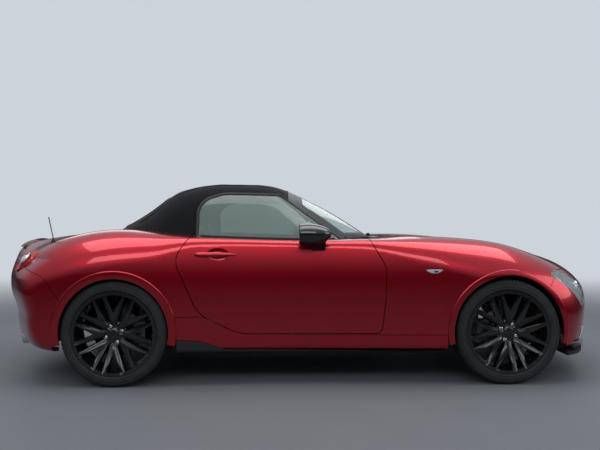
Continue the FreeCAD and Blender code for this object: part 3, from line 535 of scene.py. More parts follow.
HOOD_CLOTH = TopCloth("hood_cloth")
HOOD_WELT = TopCloth("hood_welt", srgb(10, 11, 13), srgb(20, 21, 24))
SEAT_CLOTH = Carpet("seat_cloth", srgb(30, 30, 33))
LINING = Carpet("top_lining", srgb(34, 34, 36))
SIDE_GLASS = ClearGlass("side_glass", srgb(168, 184, 178), 0.78)
SCREEN_GLASS = ClearGlass("screen_glass", srgb(216, 232, 226), 0.9)
MIRROR_SILVER = Metal("mirror_silver", srgb(228, 231, 235), 0.02, 40.0, 0.00002)
LAMP_LENS = Lens("lamp_lens")
PALE_LENS = Lens("pale_lens", srgb(236, 238, 242), 300.0, 0.45)
TAIL_LENS = Lens("tail_lens", srgb(190, 16, 20), 260.0, 0.6)
LAMP_SILVER = Metal("lamp_bowl_silver", srgb(112, 115, 122), 0.3, 60.0, 0.0002)
BRIGHT_METAL = Metal("bright_metal", srgb(224, 226, 230), 0.12, 90.0, 0.0001)
BRIGHT_TRIM = Metal("satin_bright_trim", srgb(206, 208, 212), 0.24, 120.0, 0.0002)
DISC_STEEL = Metal("disc_steel", srgb(168, 168, 170), 0.30, 240.0)
CALIPER_GREY = Metal("caliper_grey", srgb(132, 134, 138), 0.5, 300.0, 0.0006)
CAST_METAL = Metal("cast_metal", srgb(84, 86, 90), 0.55, 380.0, 0.0009)
UNDER_STEEL = Metal("underbody_steel", srgb(70, 70, 72), 0.5, 60.0, 0.0008)
HIDE = Hide("seat_hide")
CARPET = Carpet("cabin_carpet")


def deselect() -> None:
    """Leaves nothing selected, so that an operator acts on its own piece alone."""
    if bpy.context.object is not None and bpy.context.object.mode != "OBJECT":
        bpy.ops.object.mode_set(mode="OBJECT")
    bpy.ops.object.select_all(action="DESELECT")


def pick(piece: Piece) -> Piece:
    """Makes a piece the only selected and the active one.

    Args:
        piece: The piece.

    Returns:
        The piece.
    """
    deselect()
    piece.select_set(True)
    bpy.context.view_layer.objects.active = piece
    return piece


def settle(piece: Piece) -> Piece:
    """Puts a piece's place, turn and size into its mesh.

    Args:
        piece: The piece.

    Returns:
        The piece.
    """
    pick(piece)
    bpy.ops.object.transform_apply(location=True, rotation=True, scale=True)
    return piece


@contextmanager
def editing(piece: Piece, kind: str = "FACE",
            chosen: Callable[..., bool] | None = None) -> Iterator[None]:
    """Edit mode on one piece.

    Args:
        piece: The piece.
        kind: What is chosen: VERT or FACE.
        chosen: Test of a point, or of a face's middle and normal; all is selected without it.
    """
    pick(piece)
    mesh = piece.data
    for group in (mesh.vertices, mesh.edges, mesh.polygons):
        group.foreach_set("select", [chosen is None] * len(group))
    if chosen is not None and kind == "VERT":
        for vertex in mesh.vertices:
            vertex.select = chosen(vertex.co)
    elif chosen is not None:
        for face in mesh.polygons:
            face.select = chosen(face.center, face.normal)
    bpy.context.tool_settings.mesh_select_mode = (kind == "VERT", False, kind == "FACE")
    bpy.ops.object.mode_set(mode="EDIT")
    yield
    bpy.ops.object.mode_set(mode="OBJECT")


def clean(piece: Piece, gap: float = 0.00001, turn_out: bool = True) -> Piece:
    """Merges doubled points and turns the faces outwards.

    Args:
        piece: The piece.
        gap: Merge distance in metres.
        turn_out: Whether normals are worked out again.

    Returns:
        The piece.
    """
    with editing(piece, "VERT"):
        bpy.ops.mesh.remove_doubles(threshold=gap)
        if turn_out:
            bpy.ops.mesh.normals_make_consistent(inside=False)
    return piece


def smooth(piece: Piece, angle: float = 32.0) -> Piece:
    """Shades a piece smooth up to an edge angle in degrees.

    Args:
        piece: The piece.
        angle: Edge angle in degrees.

    Returns:
        The piece.
    """
    pick(piece)
    bpy.ops.object.shade_smooth_by_angle(angle=math.radians(angle))
    return piece


def apply(piece: Piece, kind: str, **settings: object) -> Piece:
    """Adds one modifier, sets it and applies it.

    Args:
        piece: The piece.
        kind: Type of the modifier.
        **settings: Its settings.

    Returns:
        The piece.
    """
    pick(piece)
    modifier = piece.modifiers.new(kind.lower(), kind)
    for key, value in settings.items():
        setattr(modifier, key, value)
    bpy.ops.object.modifier_apply(modifier=modifier.name)
    return piece


def soften(piece: Piece, width: float, segments: int = 2, angle: float = 30.0) -> Piece:
    """Rounds the sharp edges of a piece and shades it smooth.

    Args:
        piece: The piece.
        width: Width of the rounding.
        segments: Steps of the rounding.
        angle: Least edge angle in degrees that is rounded.

    Returns:
        The piece.
    """
    apply(piece, "BEVEL", width=width, segments=segments, limit_method="ANGLE",
          angle_limit=math.radians(angle))
    return smooth(piece, 40)


def finished(piece: Piece, finish: Finish, body: str = "car"
             ) -> Piece:
    """Gives a piece its finish and its body.

    Args:
        piece: The piece, in place.
        finish: Its finish.
        body: Body that it rides on.

    Returns:
        The piece.
    """
    piece.data.materials.clear()
    piece.data.materials.append(finish.material())
    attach(piece, body)
    log.info("%s rides on %s", piece.name, body)
    return piece


def body_of_node(node: str) -> str:
    """Name of the body that a node rides on."""
    return frame["nodes"][node]["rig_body"]


def copy_of(node: str, name: str) -> Piece:
    """A merged copy of a CAD node's mesh as a new piece.

    Args:
        node: Name of the node.
        name: Name of the copy.

    Returns:
        The copy.
    """
    source = frame["nodes"][node]
    copy = source.copy()
    copy.data = source.data.copy()
    for key in list(copy.keys()):
        del copy[key]
    copy.parent = None
    copy.name = name
    copy.hide_viewport = copy.hide_render = False
    bpy.context.scene.collection.objects.link(copy)
    copy.hide_set(False)
    return clean(copy, turn_out=False)


def smooth_copy(node: str, finish: Finish, angle: float = 32.0) -> Piece:
    """A smooth-shaded copy that stands for a CAD node.

    Args:
        node: Name of the node.
        finish: Finish of the copy.
        angle: Edge angle up to which shading is smooth.

    Returns:
        The copy.
    """
    copy = smooth(copy_of(node, node + "_finished"), angle)
    finished(copy, finish, body_of_node(node))
    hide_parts(node)
    return copy


def twin(piece: Piece, name: str) -> Piece:
    """A copy of a piece with its own mesh.

    Args:
        piece: The piece.
        name: Name of the copy.

    Returns:
        The copy.
    """
    copy = piece.copy()
    copy.data = piece.data.copy()
    copy.name = name
    bpy.context.scene.collection.objects.link(copy)
    return copy


def repaint(piece: Piece, finish: Finish,
            chosen: FaceTest) -> Piece:
    """Gives some faces of a piece another finish.

    Args:
        piece: The piece.
        finish: The other finish.
        chosen: Test of a face's middle and normal.

    Returns:
        The piece.
    """
    piece.data.materials.append(finish.material())
    place = len(piece.data.materials) - 1
    for face in piece.data.polygons:
        if chosen(face.center, face.normal):
            face.material_index = place
    return piece


def keep_faces(piece: Piece, chosen: FaceTest) -> Piece:
    """Deletes every face of a piece that the test refuses.

    Args:
        piece: The piece.
        chosen: Test of the faces that stay.

    Returns:
        The piece.
    """
    with editing(piece, "FACE", lambda middle, normal: not chosen(middle, normal)):
        bpy.ops.mesh.delete(type="FACE")
    return piece


def rim_of(piece: Piece) -> list[list[Vector]]:
    """Open edges of a surface as ordered loops of points, the longest first.

    Args:
        piece: The piece.

    Returns:
        The loops.
    """
    mesh = piece.data
    uses: dict[tuple[int, int], int] = {}
    for face in mesh.polygons:
        for key in face.edge_keys:
            uses[key] = uses.get(key, 0) + 1
    follow: dict[int, list[int]] = {}
    for (a, b), count in uses.items():
        if count == 1:
            follow.setdefault(a, []).append(b)
            follow.setdefault(b, []).append(a)
    loops = []
    while follow:
        loop = [next(iter(follow))]
        while True:
            ahead = [n for n in follow.get(loop[-1], []) if n not in loop[-2:]]
            if not ahead or ahead[0] in loop:
                break
            loop.append(ahead[0])
        for key in loop:
            follow.pop(key, None)
        loops.append([mesh.vertices[i].co.copy() for i in loop])
    return sorted(loops, key=len, reverse=True)


def even_steps(points: Sequence[Vector], step: float, closed: bool = True) -> list[Vector]:
    """Points at even steps along a line.

    Args:
        points: The line's points.
        step: Distance between the new points.
        closed: Whether the line runs back to its start.

    Returns:
        The new points.
    """
    line = list(points) + ([points[0]] if closed else [])
    lengths = [(b - a).length for a, b in zip(line, line[1:])]
    count = max(4, round(sum(lengths) / step))
    result = []
    at = 0
    passed = 0.0
    for i in range(count if closed else count + 1):
        goal = sum(lengths) * i / count
        while at < len(lengths) - 1 and passed + lengths[at] < goal:
            passed += lengths[at]
            at += 1
        share = (goal - passed) / lengths[at] if lengths[at] else 0.0
        result.append(line[at].lerp(line[at + 1], min(1.0, share)))
    return result


def net(name: str, rows: Sequence[Sequence[Vector]], round_rows: bool = True,
        joined: bool = False) -> Piece:
    """A grid whose points are moved into rows, with its seams merged and its ends closed.

    Args:
        name: Name of the piece.
        rows: Rows of points, all of one length.
        round_rows: Whether each row is a closed loop.
        joined: Whether the last row joins the first.

    Returns:
        The piece.
    """
    rows = [list(row) + ([row[0]] if round_rows else []) for row in rows]
    if joined:
        rows.append(rows[0])
    deselect()
    bpy.ops.mesh.primitive_grid_add(x_subdivisions=len(rows[0]) - 1, y_subdivisions=len(rows) - 1)
    piece = bpy.context.object
    piece.name = name
    for vertex, place in zip(piece.data.vertices, (p for row in rows for p in row)):
        vertex.co = place
    clean(piece, 0.000002, False)
    if round_rows:
        with editing(piece, "VERT", lambda point: False):
            bpy.ops.mesh.select_non_manifold()
            bpy.ops.mesh.fill_holes(sides=0)
        clean(piece, 0.000002)
    return piece


def sweep(name: str, route: Sequence[Vector], outward: Callable[[Vector], Vector],
          section: Profile, closed: bool = False, taper: Callable[[float], float] | None = None
          ) -> Piece:
    """A section that runs along a line on a surface.

    Args:
        name: Name of the piece.
        route: The line's points.
        outward: Direction away from the surface at a point.
        section: Closed section as (across, outward) in metres.
        closed: Whether the line is a loop.
        taper: Scale of the section at a share of the line.

    Returns:
        The piece.
    """
    rows = []
    last = len(route) - 1
    for i, point in enumerate(route):
        before = route[i - 1] if i or closed else point
        after = route[(i + 1) % len(route)] if i < last or closed else point
        up = outward(point).normalized()
        across = (after - before).normalized().cross(up).normalized()
        size = taper(i / last) if taper else 1.0
        rows.append([point + across * (a * size) + up * (b * size) for a, b in section])
    return smooth(net(name, rows, True, closed), 50)


def lathe(name: str, profile: Profile, steps: int = 48) -> Piece:
    """A closed profile spun about Z at the origin.

    Args:
        name: Name of the piece.
        profile: (radius, height) corners in order.
        steps: Steps of the turn.

    Returns:
        The piece.
    """
    deselect()
    bpy.ops.mesh.primitive_circle_add(vertices=len(profile), fill_type="NOTHING")
    piece = bpy.context.object
    piece.name = name
    for vertex, (radius, height) in zip(piece.data.vertices, profile):
        vertex.co = (radius, 0, height)
    with editing(piece, "VERT"):
        bpy.ops.mesh.spin(steps=steps, dupli=False, angle=2 * math.pi, center=(0, 0, 0),
                          axis=(0, 0, 1))
    clean(piece, 0.000005)
    with editing(piece, "VERT", lambda point: False):
        bpy.ops.mesh.select_interior_faces()
        bpy.ops.mesh.delete(type="FACE")
    clean(piece, 0.000005)
    return smooth(piece, 35)


def slab(name: str, outline: Sequence[Point], push: Point, bevel: float = 0.0,
         segments: int = 2) -> Piece:
    """A flat outline pushed to a thickness, with rounded edges.

    Args:
        name: Name of the piece.
        outline: Corners of the outline in order.
        push: Vector of the thickness.
        bevel: Width of the rounding.
        segments: Steps of the rounding.

    Returns:
        The piece.
    """
    deselect()
    bpy.ops.mesh.primitive_circle_add(vertices=len(outline), fill_type="NGON")
    piece = bpy.context.object
    piece.name = name
    for vertex, place in zip(piece.data.vertices, outline):
        vertex.co = place
    with editing(piece):
        bpy.ops.mesh.extrude_region_move(TRANSFORM_OT_translate={"value": push})
    clean(piece)
    return soften(piece, bevel, segments) if bevel else smooth(piece, 30)


def aimed(piece: Piece, place: Vector, direction: Vector) -> Piece:
    """Turns a piece's Z to a direction, moves it there and puts both into its mesh.

    Args:
        piece: The piece.
        place: Where its origin goes.
        direction: Where its Z goes.

    Returns:
        The piece.
    """
    piece.rotation_mode = "QUATERNION"
    piece.rotation_quaternion = direction.to_track_quat("Z", "Y")
    piece.location = place
    settle(piece)
    piece.rotation_mode = "XYZ"
    return piece


def turned(name: str, profile: Profile, place: Vector, way: Vector, finish: Finish,
           body: str = "car", steps: int = 48) -> Piece:
    """A spun profile, aimed, put in its place and finished.

    Args:
        name: Name of the piece.
        profile: (radius, height) corners in order.
        place: Where its origin goes.
        way: Direction of its axis.
        finish: Its finish.
        body: Body that it rides on.
        steps: Steps of the turn.

    Returns:
        The piece.
    """
    return finished(aimed(lathe(name, profile, steps), place, way), finish, body)


def turns(count: int) -> list[float]:
    """Angles of a full turn in even steps, in radians."""
    return [2 * math.pi * i / count for i in range(count)]


def between(low: float, high: float, steps: int) -> list[float]:
    """Numbers from low to high in even steps, both ends among them."""
    return [low + (high - low) * i / steps for i in range(steps + 1)]


def plate(name: str, low: tuple[float, float], high: tuple[float, float],
          across: tuple[float, float], push: Point, bevel: float, segments: int = 2) -> Piece:
    """A leaning plate that lies across the car.

    Args:
        name: Name of the piece.
        low: (x, z) of its lower edge.
        high: (x, z) of its upper edge.
        across: Y of its right and of its left edge.
        push: Vector of the thickness.
        bevel: Width of the rounding.
        segments: Steps of the rounding.

    Returns:
        The piece.
    """
    right, left = across
    corners = [(low[0], right, low[1]), (low[0], left, low[1]), (high[0], left, high[1]),
               (high[0], right, high[1])]
    return slab(name, corners, push, bevel, segments)


class Curve:
    """Smooth curve through (place, value) pairs, kept as a table with a value each millimetre."""

    start: float = -2100.0
    count: int = 4200

    def __init__(self, points: Profile) -> None:
        """Fills the table.

        Args:
            points: (place, value) pairs in order.
        """
        self.points = points
        self.table = [self.smooth_value(self.start + i) for i in range(self.count + 1)]

    def __call__(self, x: float) -> float:
        """Value at a place along the car.

        Args:
            x: Place along the car in millimetres.

        Returns:
            The value in millimetres.
        """
        share = x - self.start
        i = min(max(int(share), 0), self.count - 1)
        low = self.table[i]
        return low + (self.table[i + 1] - low) * (share - i)

    def smooth_value(self, x: float) -> float:
        """Value of the cubic through the points.

        Args:
            x: Place along the car in millimetres.

        Returns:
            The value in millimetres.
        """
        pairs = self.points
        last = len(pairs) - 1

        def slope(i: int) -> float:
            """Slope of the curve at one of its points."""
            a, b = pairs[max(i - 1, 0)], pairs[min(i + 1, last)]
            return (b[1] - a[1]) / (b[0] - a[0])

        if x <= pairs[0][0]:
            return pairs[0][1] + (x - pairs[0][0]) * slope(0)
        if x >= pairs[-1][0]:
            return pairs[-1][1] + (x - pairs[-1][0]) * slope(last)
        i = next(i for i in range(last) if x <= pairs[i + 1][0])
        h = pairs[i + 1][0] - pairs[i][0]
        t = (x - pairs[i][0]) / h
        near = (1 + 2 * t) * (1 - t) ** 2 * pairs[i][1] + t * (1 - t) ** 2 * h * slope(i)
        far = t * t * (3 - 2 * t) * pairs[i + 1][1] + t * t * (t - 1) * h * slope(i + 1)
        return near + far


def blended(first: float, second: float, width: float) -> float:
    """Larger of two distances, with their edge rounded over a width."""
    reach = width - abs(first - second)
    return max(first, second) + (reach * reach / (4 * width) if reach > 0 else 0.0)


def ease(share: float) -> float:
    """Smooth step from 0 to 1."""
    share = min(1.0, max(0.0, share))
    return share * share * (3 - 2 * share)


class Surface:
    """A surface of the car as the zero of a field.

    The field is in millimetres, and everything else is in metres.
    """

    def field(self, x: float, y: float, z: float) -> float:
        """Distance-like value, negative inside."""
        raise NotImplementedError

    def depth(self, point: Vector) -> float:
        """Field at a point in metres, in metres."""
        return self.field(point.x * 1000, abs(point.y) * 1000, point.z * 1000) / 1000

    def outward(self, point: Vector) -> Vector:
        """Unit normal of the surface at a point.

        Args:
            point: A point in metres.

        Returns:
            The unit vector.
        """
        x, y, z = point.x * 1000, abs(point.y) * 1000, point.z * 1000
        here = self.field(x, y, z)
        rise = Vector((self.field(x + 1, y, z) - here, self.field(x, y + 1, z) - here,
                       self.field(x, y, z + 1) - here))
        if point.y < 0:
            rise.y = -rise.y
        return rise.normalized()

    def reach(self, start: Vector, end: Vector) -> Vector:
        """Point where the line from inside to outside leaves the surface.

        Args:
            start: A point inside.
            end: A point outside.

        Returns:
            The point.
        """
        near, far = 0.0, 1.0
        for _ in range(20):
            middle = (near + far) / 2
            if self.depth(start.lerp(end, middle)) < 0:
                near = middle
            else:
                far = middle
        return start.lerp(end, near)

    def beside(self, x: float, z: float, sign: int = -1) -> Vector:
        """Point on the surface's side at a length and height."""
        return self.reach(Vector((x, sign * 0.2, z)), Vector((x, sign * 1.1, z)))

    def above(self, x: float, y: float) -> Vector:
        """Point on the surface's top at a plan position. Fails where CABIN is below 0.95 m."""
        return self.reach(Vector((x, y, 0.5)), Vector((x, y, 1.4)))

    def dress(self, piece: Piece) -> Piece:
        """Gives the faces that lie on this surface its own normals.

        Args:
            piece: A smooth-shaded piece.

        Returns:
            The piece.
        """
        mesh = piece.data
        normals = [Vector(corner.vector) for corner in mesh.corner_normals]
        known: dict[int, Vector] = {}
        for face in mesh.polygons:
            if abs(self.depth(face.center)) > 0.03:
                continue
            along = face.normal.dot(self.outward(face.center))
            if abs(along) < 0.9:
                continue
            for corner in face.loop_indices:
                vertex = mesh.loops[corner].vertex_index
                if vertex not in known:
                    known[vertex] = self.outward(mesh.vertices[vertex].co)
                normals[corner] = known[vertex] if along > 0 else -known[vertex]
        mesh.normals_split_custom_set(normals)
        return piece


@dataclass(frozen=True)
class BodySkin(Surface):
    """Painted body, from the same lengthwise curves as its solids."""

    length: float = 3915.0
    nose_bluntness: float = 308.0
    tail_bluntness: float = 340.0
    crown_y: float = 610.0
    floor_z: float = 186.0
    nose_round: float = 120.0
    tail_round: float = 60.0
    floor_round: float = 40.0
    tail_tuck: float = 140.0
    half_width: Curve = Curve(((-1957, 790), (-1500, 850), (-1087, 867.5), (-500, 838), (0, 826),
                               (500, 840), (1222, 867.5), (1550, 840), (1957, 770)))
    top_line: Curve = Curve(((-1957, 815), (-1500, 880), (-1100, 905), (-600, 872), (0, 852),
                             (420, 858), (700, 862), (1000, 845), (1300, 812), (1600, 752),
                             (1800, 682), (1957, 575)))
    crown_rise: Curve = Curve(((-1957, 0), (-1400, 8), (-1000, 10), (-500, 0), (400, 0), (900, 14),
                               (1350, 14), (1700, 0), (1957, 0)))
    shoulder_round: Curve = Curve(((-1957, 130), (-1400, 190), (-900, 150), (-600, 60), (350, 55),
                                   (700, 120), (1200, 190), (1957, 150)))
    shoulder_drop: Curve = Curve(((-1957, 30), (-1300, 40), (-700, 4), (350, 4), (700, 25),
                                  (1200, 60), (1700, 60), (1957, 30)))
    camber: Curve = Curve(((-1957, 190), (-1700, 115), (-1500, 40), (-1250, 5), (-900, 0),
                           (1000, 0), (1222, 6), (1400, 26), (1600, 62), (1800, 110), (1957, 140)))

    def field(self, x: float, y: float, z: float) -> float:
        """Distance-like value of the body.

        Args:
            x: Length in millimetres.
            y: Width in millimetres.
            z: Height in millimetres.

        Returns:
            The value in millimetres.
        """
        side = self.half_width(x) - 30 * max(0.0, (z - 600) / 250) ** 2
        side -= 18 * max(0.0, (400 - z) / 200) ** 2
        ridge = self.crown_rise(x) * math.exp(-((y - self.crown_y) / 130) ** 2)
        fall = self.shoulder_drop(x) * max(0.0, (y - self.crown_y) / (side - self.crown_y)) ** 2
        above = z - self.top_line(x) - ridge + fall + self.camber(x) * (y / self.crown_y) ** 2
        nose = x - self.length / 2 + self.nose_bluntness * (y / 850) ** 1.8
        nose += 26 * max(0.0, (440 - z) / 200) ** 2 + 60 * max(0.0, (z - 520) / 150) ** 2
        tail = -x - self.length / 2 + self.tail_bluntness * (y / 850) ** 1.7
        tail += 44 * ease((560 - z) / 170) + 42 * max(0.0, (z - 620) / 200) ** 1.5
        tail += 70 * (y / 600) ** 2 * min(1.0, max(0.0, (z - 620) / 120)) ** 1.5
        around = blended(y - side, above, self.shoulder_round(x))
        around = blended(blended(around, nose, self.nose_round), tail, self.tail_round)
        tuck = self.floor_round + self.tail_tuck * ease((-x - 1400) / 250)
        return blended(around, self.floor_z - z, tuck)


@dataclass(frozen=True)
class CabinSkin(Surface):
    """Windscreen, roof and side glass as one form."""

    roof_line: Curve = Curve(((-1420, 780), (-1213, 915), (-1043, 1018), (-873, 1140),
                              (-787, 1182), (-616, 1217), (-400, 1224), (-190, 1213), (-122, 1196),
                              (-57, 1172), (226, 1030), (489, 865), (620, 770)))
    belt: Curve = Curve(((-1400, 560), (-1000, 650), (-600, 715), (0, 728), (330, 700),
                         (600, 640)))
    lean: float = 0.43
    belt_z: float = 850.0
    front_sweep: float = 190.0
    rear_sweep: float = 100.0
    side_round: float = 130.0
    floor_z: float = 760.0

    def field(self, x: float, y: float, z: float) -> float:
        """Distance-like value of the cabin.

        Args:
            x: Length in millimetres.
            y: Width in millimetres.
            z: Height in millimetres.

        Returns:
            The value in millimetres.
        """
        front = min(1.0, max(0.0, (x + 250) / 300))
        rear = min(1.0, max(0.0, (-500 - x) / 300))
        swept = front * self.front_sweep * (y / 620) ** 2.2
        swept -= rear * self.rear_sweep * (y / 600) ** 2.2
        above = z - self.roof_line(x + swept) + 34 * (y / 500) ** 2
        beside = y - self.belt(x) + (z - self.belt_z) * self.lean
        return blended(blended(above, beside, self.side_round), self.floor_z - z, 20)


BODY = BodySkin()
CABIN = CabinSkin()


def outer_rims(node: str, facing: float, step: float) -> list[list[Vector]]:
    """Edges of a cabin node's outer face, the one of most points first.

    Args:
        node: Name of the node.
        facing: Least share of a face's normal that points out of the cabin.
        step: Distance between the points.

    Returns:
        A list of points for each edge loop.
    """
    trial = copy_of(node, "rim_trial")
    keep_faces(trial, lambda middle, normal: normal.dot(CABIN.outward(middle)) > facing)
    rims = [even_steps(rim, step) for rim in rim_of(trial)]
    bpy.data.objects.remove(trial)
    return rims


def oval(width: float, height: float, steps: int = 12, middle: tuple[float, float] = (0.0, 0.0)
         ) -> list[tuple[float, float]]:
    """Oval section of a full width and height about a middle."""
    return [(middle[0] + width / 2 * math.cos(t), middle[1] + height / 2 * math.sin(t))
            for t in turns(steps)]


def strip(low: float, high: float, bottom: float, top: float, round_by: float = 0.001
          ) -> list[tuple[float, float]]:
    """Rectangular section with its outer corners rounded.

    Args:
        low: Its lower side across.
        high: Its upper side across.
        bottom: Its inner face.
        top: Its outer face.
        round_by: Size of the rounding.

    Returns:
        The section.
    """
    r = round_by
    return [(low, bottom), (high, bottom), (high, top - r), (high - r * 0.3, top - r * 0.3),
            (high - r, top), (low + r, top), (low + r * 0.3, top - r * 0.3), (low, top - r)]


def ball(name: str, place: Vector, radii: Point) -> Piece:
    """Stretched ball for cutting and for domes.

    Args:
        name: Name of the piece.
        place: Its middle.
        radii: Its three radii.

    Returns:
        The piece.
    """
    deselect()
    bpy.ops.mesh.primitive_uv_sphere_add(segments=40, ring_count=20, location=place)
    piece = bpy.context.object
    piece.name = name
    piece.scale = radii
    return settle(piece)


def carve(piece: Piece, cutter: Piece) -> Piece:
    """Cuts one piece's shape out of another and deletes it.

    Args:
        piece: The piece.
        cutter: The piece whose shape is cut out.

    Returns:
        The piece that was cut.
    """
    apply(piece, "BOOLEAN", object=cutter, operation="DIFFERENCE", solver="EXACT")
    bpy.data.objects.remove(cutter)
    return piece


@dataclass
class BodyShell:
    """Painted and black outer panels with the trim on them."""

    painted: tuple[str, ...] = ("bonnet", "boot_lid", "front_bumper", "rear_bumper", "fenders",
                                "rear_quarters", "side_sills")
    gloss: tuple[str, ...] = ("boot_lip", "side_skirts")
    satin: tuple[str, ...] = ("front_splitter", "rear_valance", "grille", "cowl")
    arch_radius: float = 0.362
    arch_z: float = 0.314
    arches: tuple[tuple[str, float, float], ...] = (("front", 1.2225, 0.036),
                                                    ("rear", -1.0875, 0.048))
    lip_height: float = 0.0075
    handle: tuple[float, float, float] = (-0.626, -0.381, 0.766)
    handle_arch: float = 0.011
    bowl_x: float = -0.488
    bowl: Point = (0.064, 0.024, 0.040)
    mirror_glass: tuple[float, float] = (0.885, 0.886)
    mirror_rim: tuple[float, float] = (0.068, 0.0545)
    repeater_middle: tuple[float, float] = (0.777, 0.667)
    repeater: Profile = ((0.728, 0.677), (0.776, 0.679), (0.828, 0.678), (0.816, 0.666),
                         (0.796, 0.657), (0.768, 0.656), (0.744, 0.664))
    flap_middle: tuple[float, float] = (-1.44, 0.742)
    flap: tuple[float, float] = (0.072, 0.066)
    wipers: tuple[tuple[str, float, float], ...] = (("right", -0.03, -0.52),
                                                    ("left", 0.44, 0.03))
    lock: Profile = ((0, 0), (0.008, 0), (0.009, 0.0015), (0.008, 0.003), (0.003, 0.0026),
                     (0, 0.0026))
    mirror_disc: Profile = ((0, 0), (0.064, 0), (0.066, 0.0012), (0.0635, 0.0024), (0, 0.0024))
    filament: Profile = ((0.775, 0.673), (0.802, 0.673), (0.797, 0.662), (0.780, 0.661))
    fin: Profile = ((0.0, 0.004), (0.0, 0.012), (-0.052, 0.016), (-0.056, 0.014),
                    (-0.052, 0.010))
    wiper_blade: Profile = ((-0.004, -0.006), (0.004, -0.006), (0.0055, 0.001), (0.002, 0.006),
                            (-0.002, 0.006), (-0.0055, 0.001))
    wiper_hub: Profile = ((0, -0.02), (0.012, -0.02), (0.014, -0.004), (0.013, 0.006),
                          (0.008, 0.010), (0, 0.011))

    def build(self) -> None:
        """Builds the shell and its trim."""
        for node in self.painted:
            panel = BODY.dress(smooth_copy(node, PAINT))
            if node == "rear_quarters":
                repaint(panel, CABIN_PLASTIC, lambda middle, normal:
                        BODY.depth(middle) < -0.008 and normal.dot(BODY.outward(middle)) < -0.2)
        for node in self.gloss:
            BODY.dress(smooth_copy(node, GLOSS_BLACK))
        for node in self.satin:
            smooth_copy(node, SATIN_PLASTIC)
        CABIN.dress(smooth_copy("windscreen_frame", SATIN_PLASTIC))
        smooth_copy("aerial", SEAL_RUBBER)
        for side in Side:
            self.hang_door(side)
            self.fit_mirror(side)
            self.fit_repeater(side)
            self.fit_corner(side)
            for end, x, width in self.arches:
                self.roll_lip(side, end, x, width)
        self.fit_wipers()
        self.fit_flap()

    def hang_door(self, side: Side) -> None:
        """Door with its handle and the finger bowl behind the handle.

        Args:
            side: Side of the car.
        """
        node = "door_" + side.letter
        rear, front, z = self.handle
        door = copy_of(node, node + "_finished")
        bowl = BODY.beside(self.bowl_x, z + 0.002, side.sign)
        carve(door, ball("bowl_cutter", bowl, self.bowl))
        smooth(door)
        BODY.dress(door)
        finished(door, PAINT, body_of_node(node))
        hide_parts(node)
        route = []
        for share in between(0.0, 1.0, 24):
            on_skin = BODY.beside(rear + (front - rear) * share, z, side.sign)
            arch = self.handle_arch * math.sin(math.pi * share) ** 0.6
            route.append(on_skin + BODY.outward(on_skin) * arch)
        grip = sweep("handle_" + side.letter, route, BODY.outward, oval(0.029, 0.019, 16), False,
                     lambda share: max(0.12, min(1.0, share / 0.10, (1 - share) / 0.42)) ** 0.5)
        finished(grip, PAINT, body_of_node(node))
        on_skin = BODY.beside(rear - 0.012, z, side.sign)
        turned("lock_" + side.letter, self.lock, on_skin, BODY.outward(on_skin), PAINT,
               body_of_node(node), 24)

    def fit_mirror(self, side: Side) -> None:
        """Mirror cap, its rim and its glass.

        Args:
            side: Side of the car.
        """
        node = "mirror_" + side.letter
        body = body_of_node(node)
        cap = smooth_copy(node, GLOSS_BLACK, 40)
        repaint(cap, SATIN_PLASTIC, lambda middle, normal: middle.z < 0.835 or normal.x < -0.9)
        y, z = self.mirror_glass
        face = Vector((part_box(node)[0][0] - 0.0005, side.sign * y, z))
        glass = lathe("mirror_glass_" + side.letter, self.mirror_disc)
        glass.scale = (0.80, 1.0, 1.0)
        settle(glass)
        aimed(glass, face, Vector((-1, 0, 0)))
        finished(glass, MIRROR_SILVER, body)
        wide, high = self.mirror_rim
        loop = [face + Vector((0.001, wide * math.cos(t), high * math.sin(t))) for t in turns(56)]
        rim = sweep("mirror_rim_" + side.letter, loop, lambda point: Vector((-1, 0, 0)),
                    oval(0.007, 0.008, 10), True)
        finished(rim, SATIN_PLASTIC, body)

    def fit_repeater(self, side: Side) -> None:
        """Side repeater lamp on the front wing.

        Args:
            side: Side of the car.
        """
        def place(x: float, z: float, lift: float) -> Vector:
            """Point above the wing's skin."""
            on_skin = BODY.beside(x, z, side.sign)
            return on_skin + BODY.outward(on_skin) * lift
        push = BODY.outward(BODY.beside(0.78, 0.668, side.sign))
        mid_x, mid_z = self.repeater_middle
        base = slab("repeater_base_" + side.letter,
                    [place(mid_x + (x - mid_x) * 1.09, mid_z + (z - mid_z) * 1.28, -0.002)
                     for x, z in self.repeater], push * 0.004, 0.0015)
        finished(base, SATIN_PLASTIC)
        lens = slab("repeater_lens_" + side.letter,
                    [place(x, z, 0.0015) for x, z in self.repeater], push * 0.004, 0.002, 3)
        finished(lens, PALE_LENS, "car")
        bulb = slab("repeater_bulb_" + side.letter,
                    [place(x, z, 0.003) for x, z in self.filament], push * 0.0035, 0.001)
        finished(bulb, SATIN_PLASTIC)

    def fit_corner(self, side: Side) -> None:
        """Small lamp and bright fin at a front corner, and a reflector inside the body.

        Args:
            side: Side of the car.
        """
        def around(degrees: float, z: float, start_x: float = 1.4) -> Vector:
            """Point on the skin at an angle round a corner of the car.

            Args:
                degrees: Angle from the car's side towards its nose.
                z: Height in metres.
                start_x: Middle of the angle in metres.

            Returns:
                The point.
            """
            turn = math.radians(degrees)
            start = Vector((start_x, side.sign * 0.4, z))
            way = Vector((math.sin(turn), side.sign * math.cos(turn), 0))
            return BODY.reach(start, start + way)

        def flat_out(point: Vector) -> Vector:
            """Level direction away from the skin."""
            return BODY.outward(point) * Vector((1, 1, 0))

        def stuck_on(name: str, corners: list[Vector], push: Vector, bevel: float, steps: int
                     ) -> Piece:
            """A small plate let into the skin."""
            return slab(name + side.letter, [p - push * 0.002 for p in corners], push * 0.006,
                        bevel, steps)

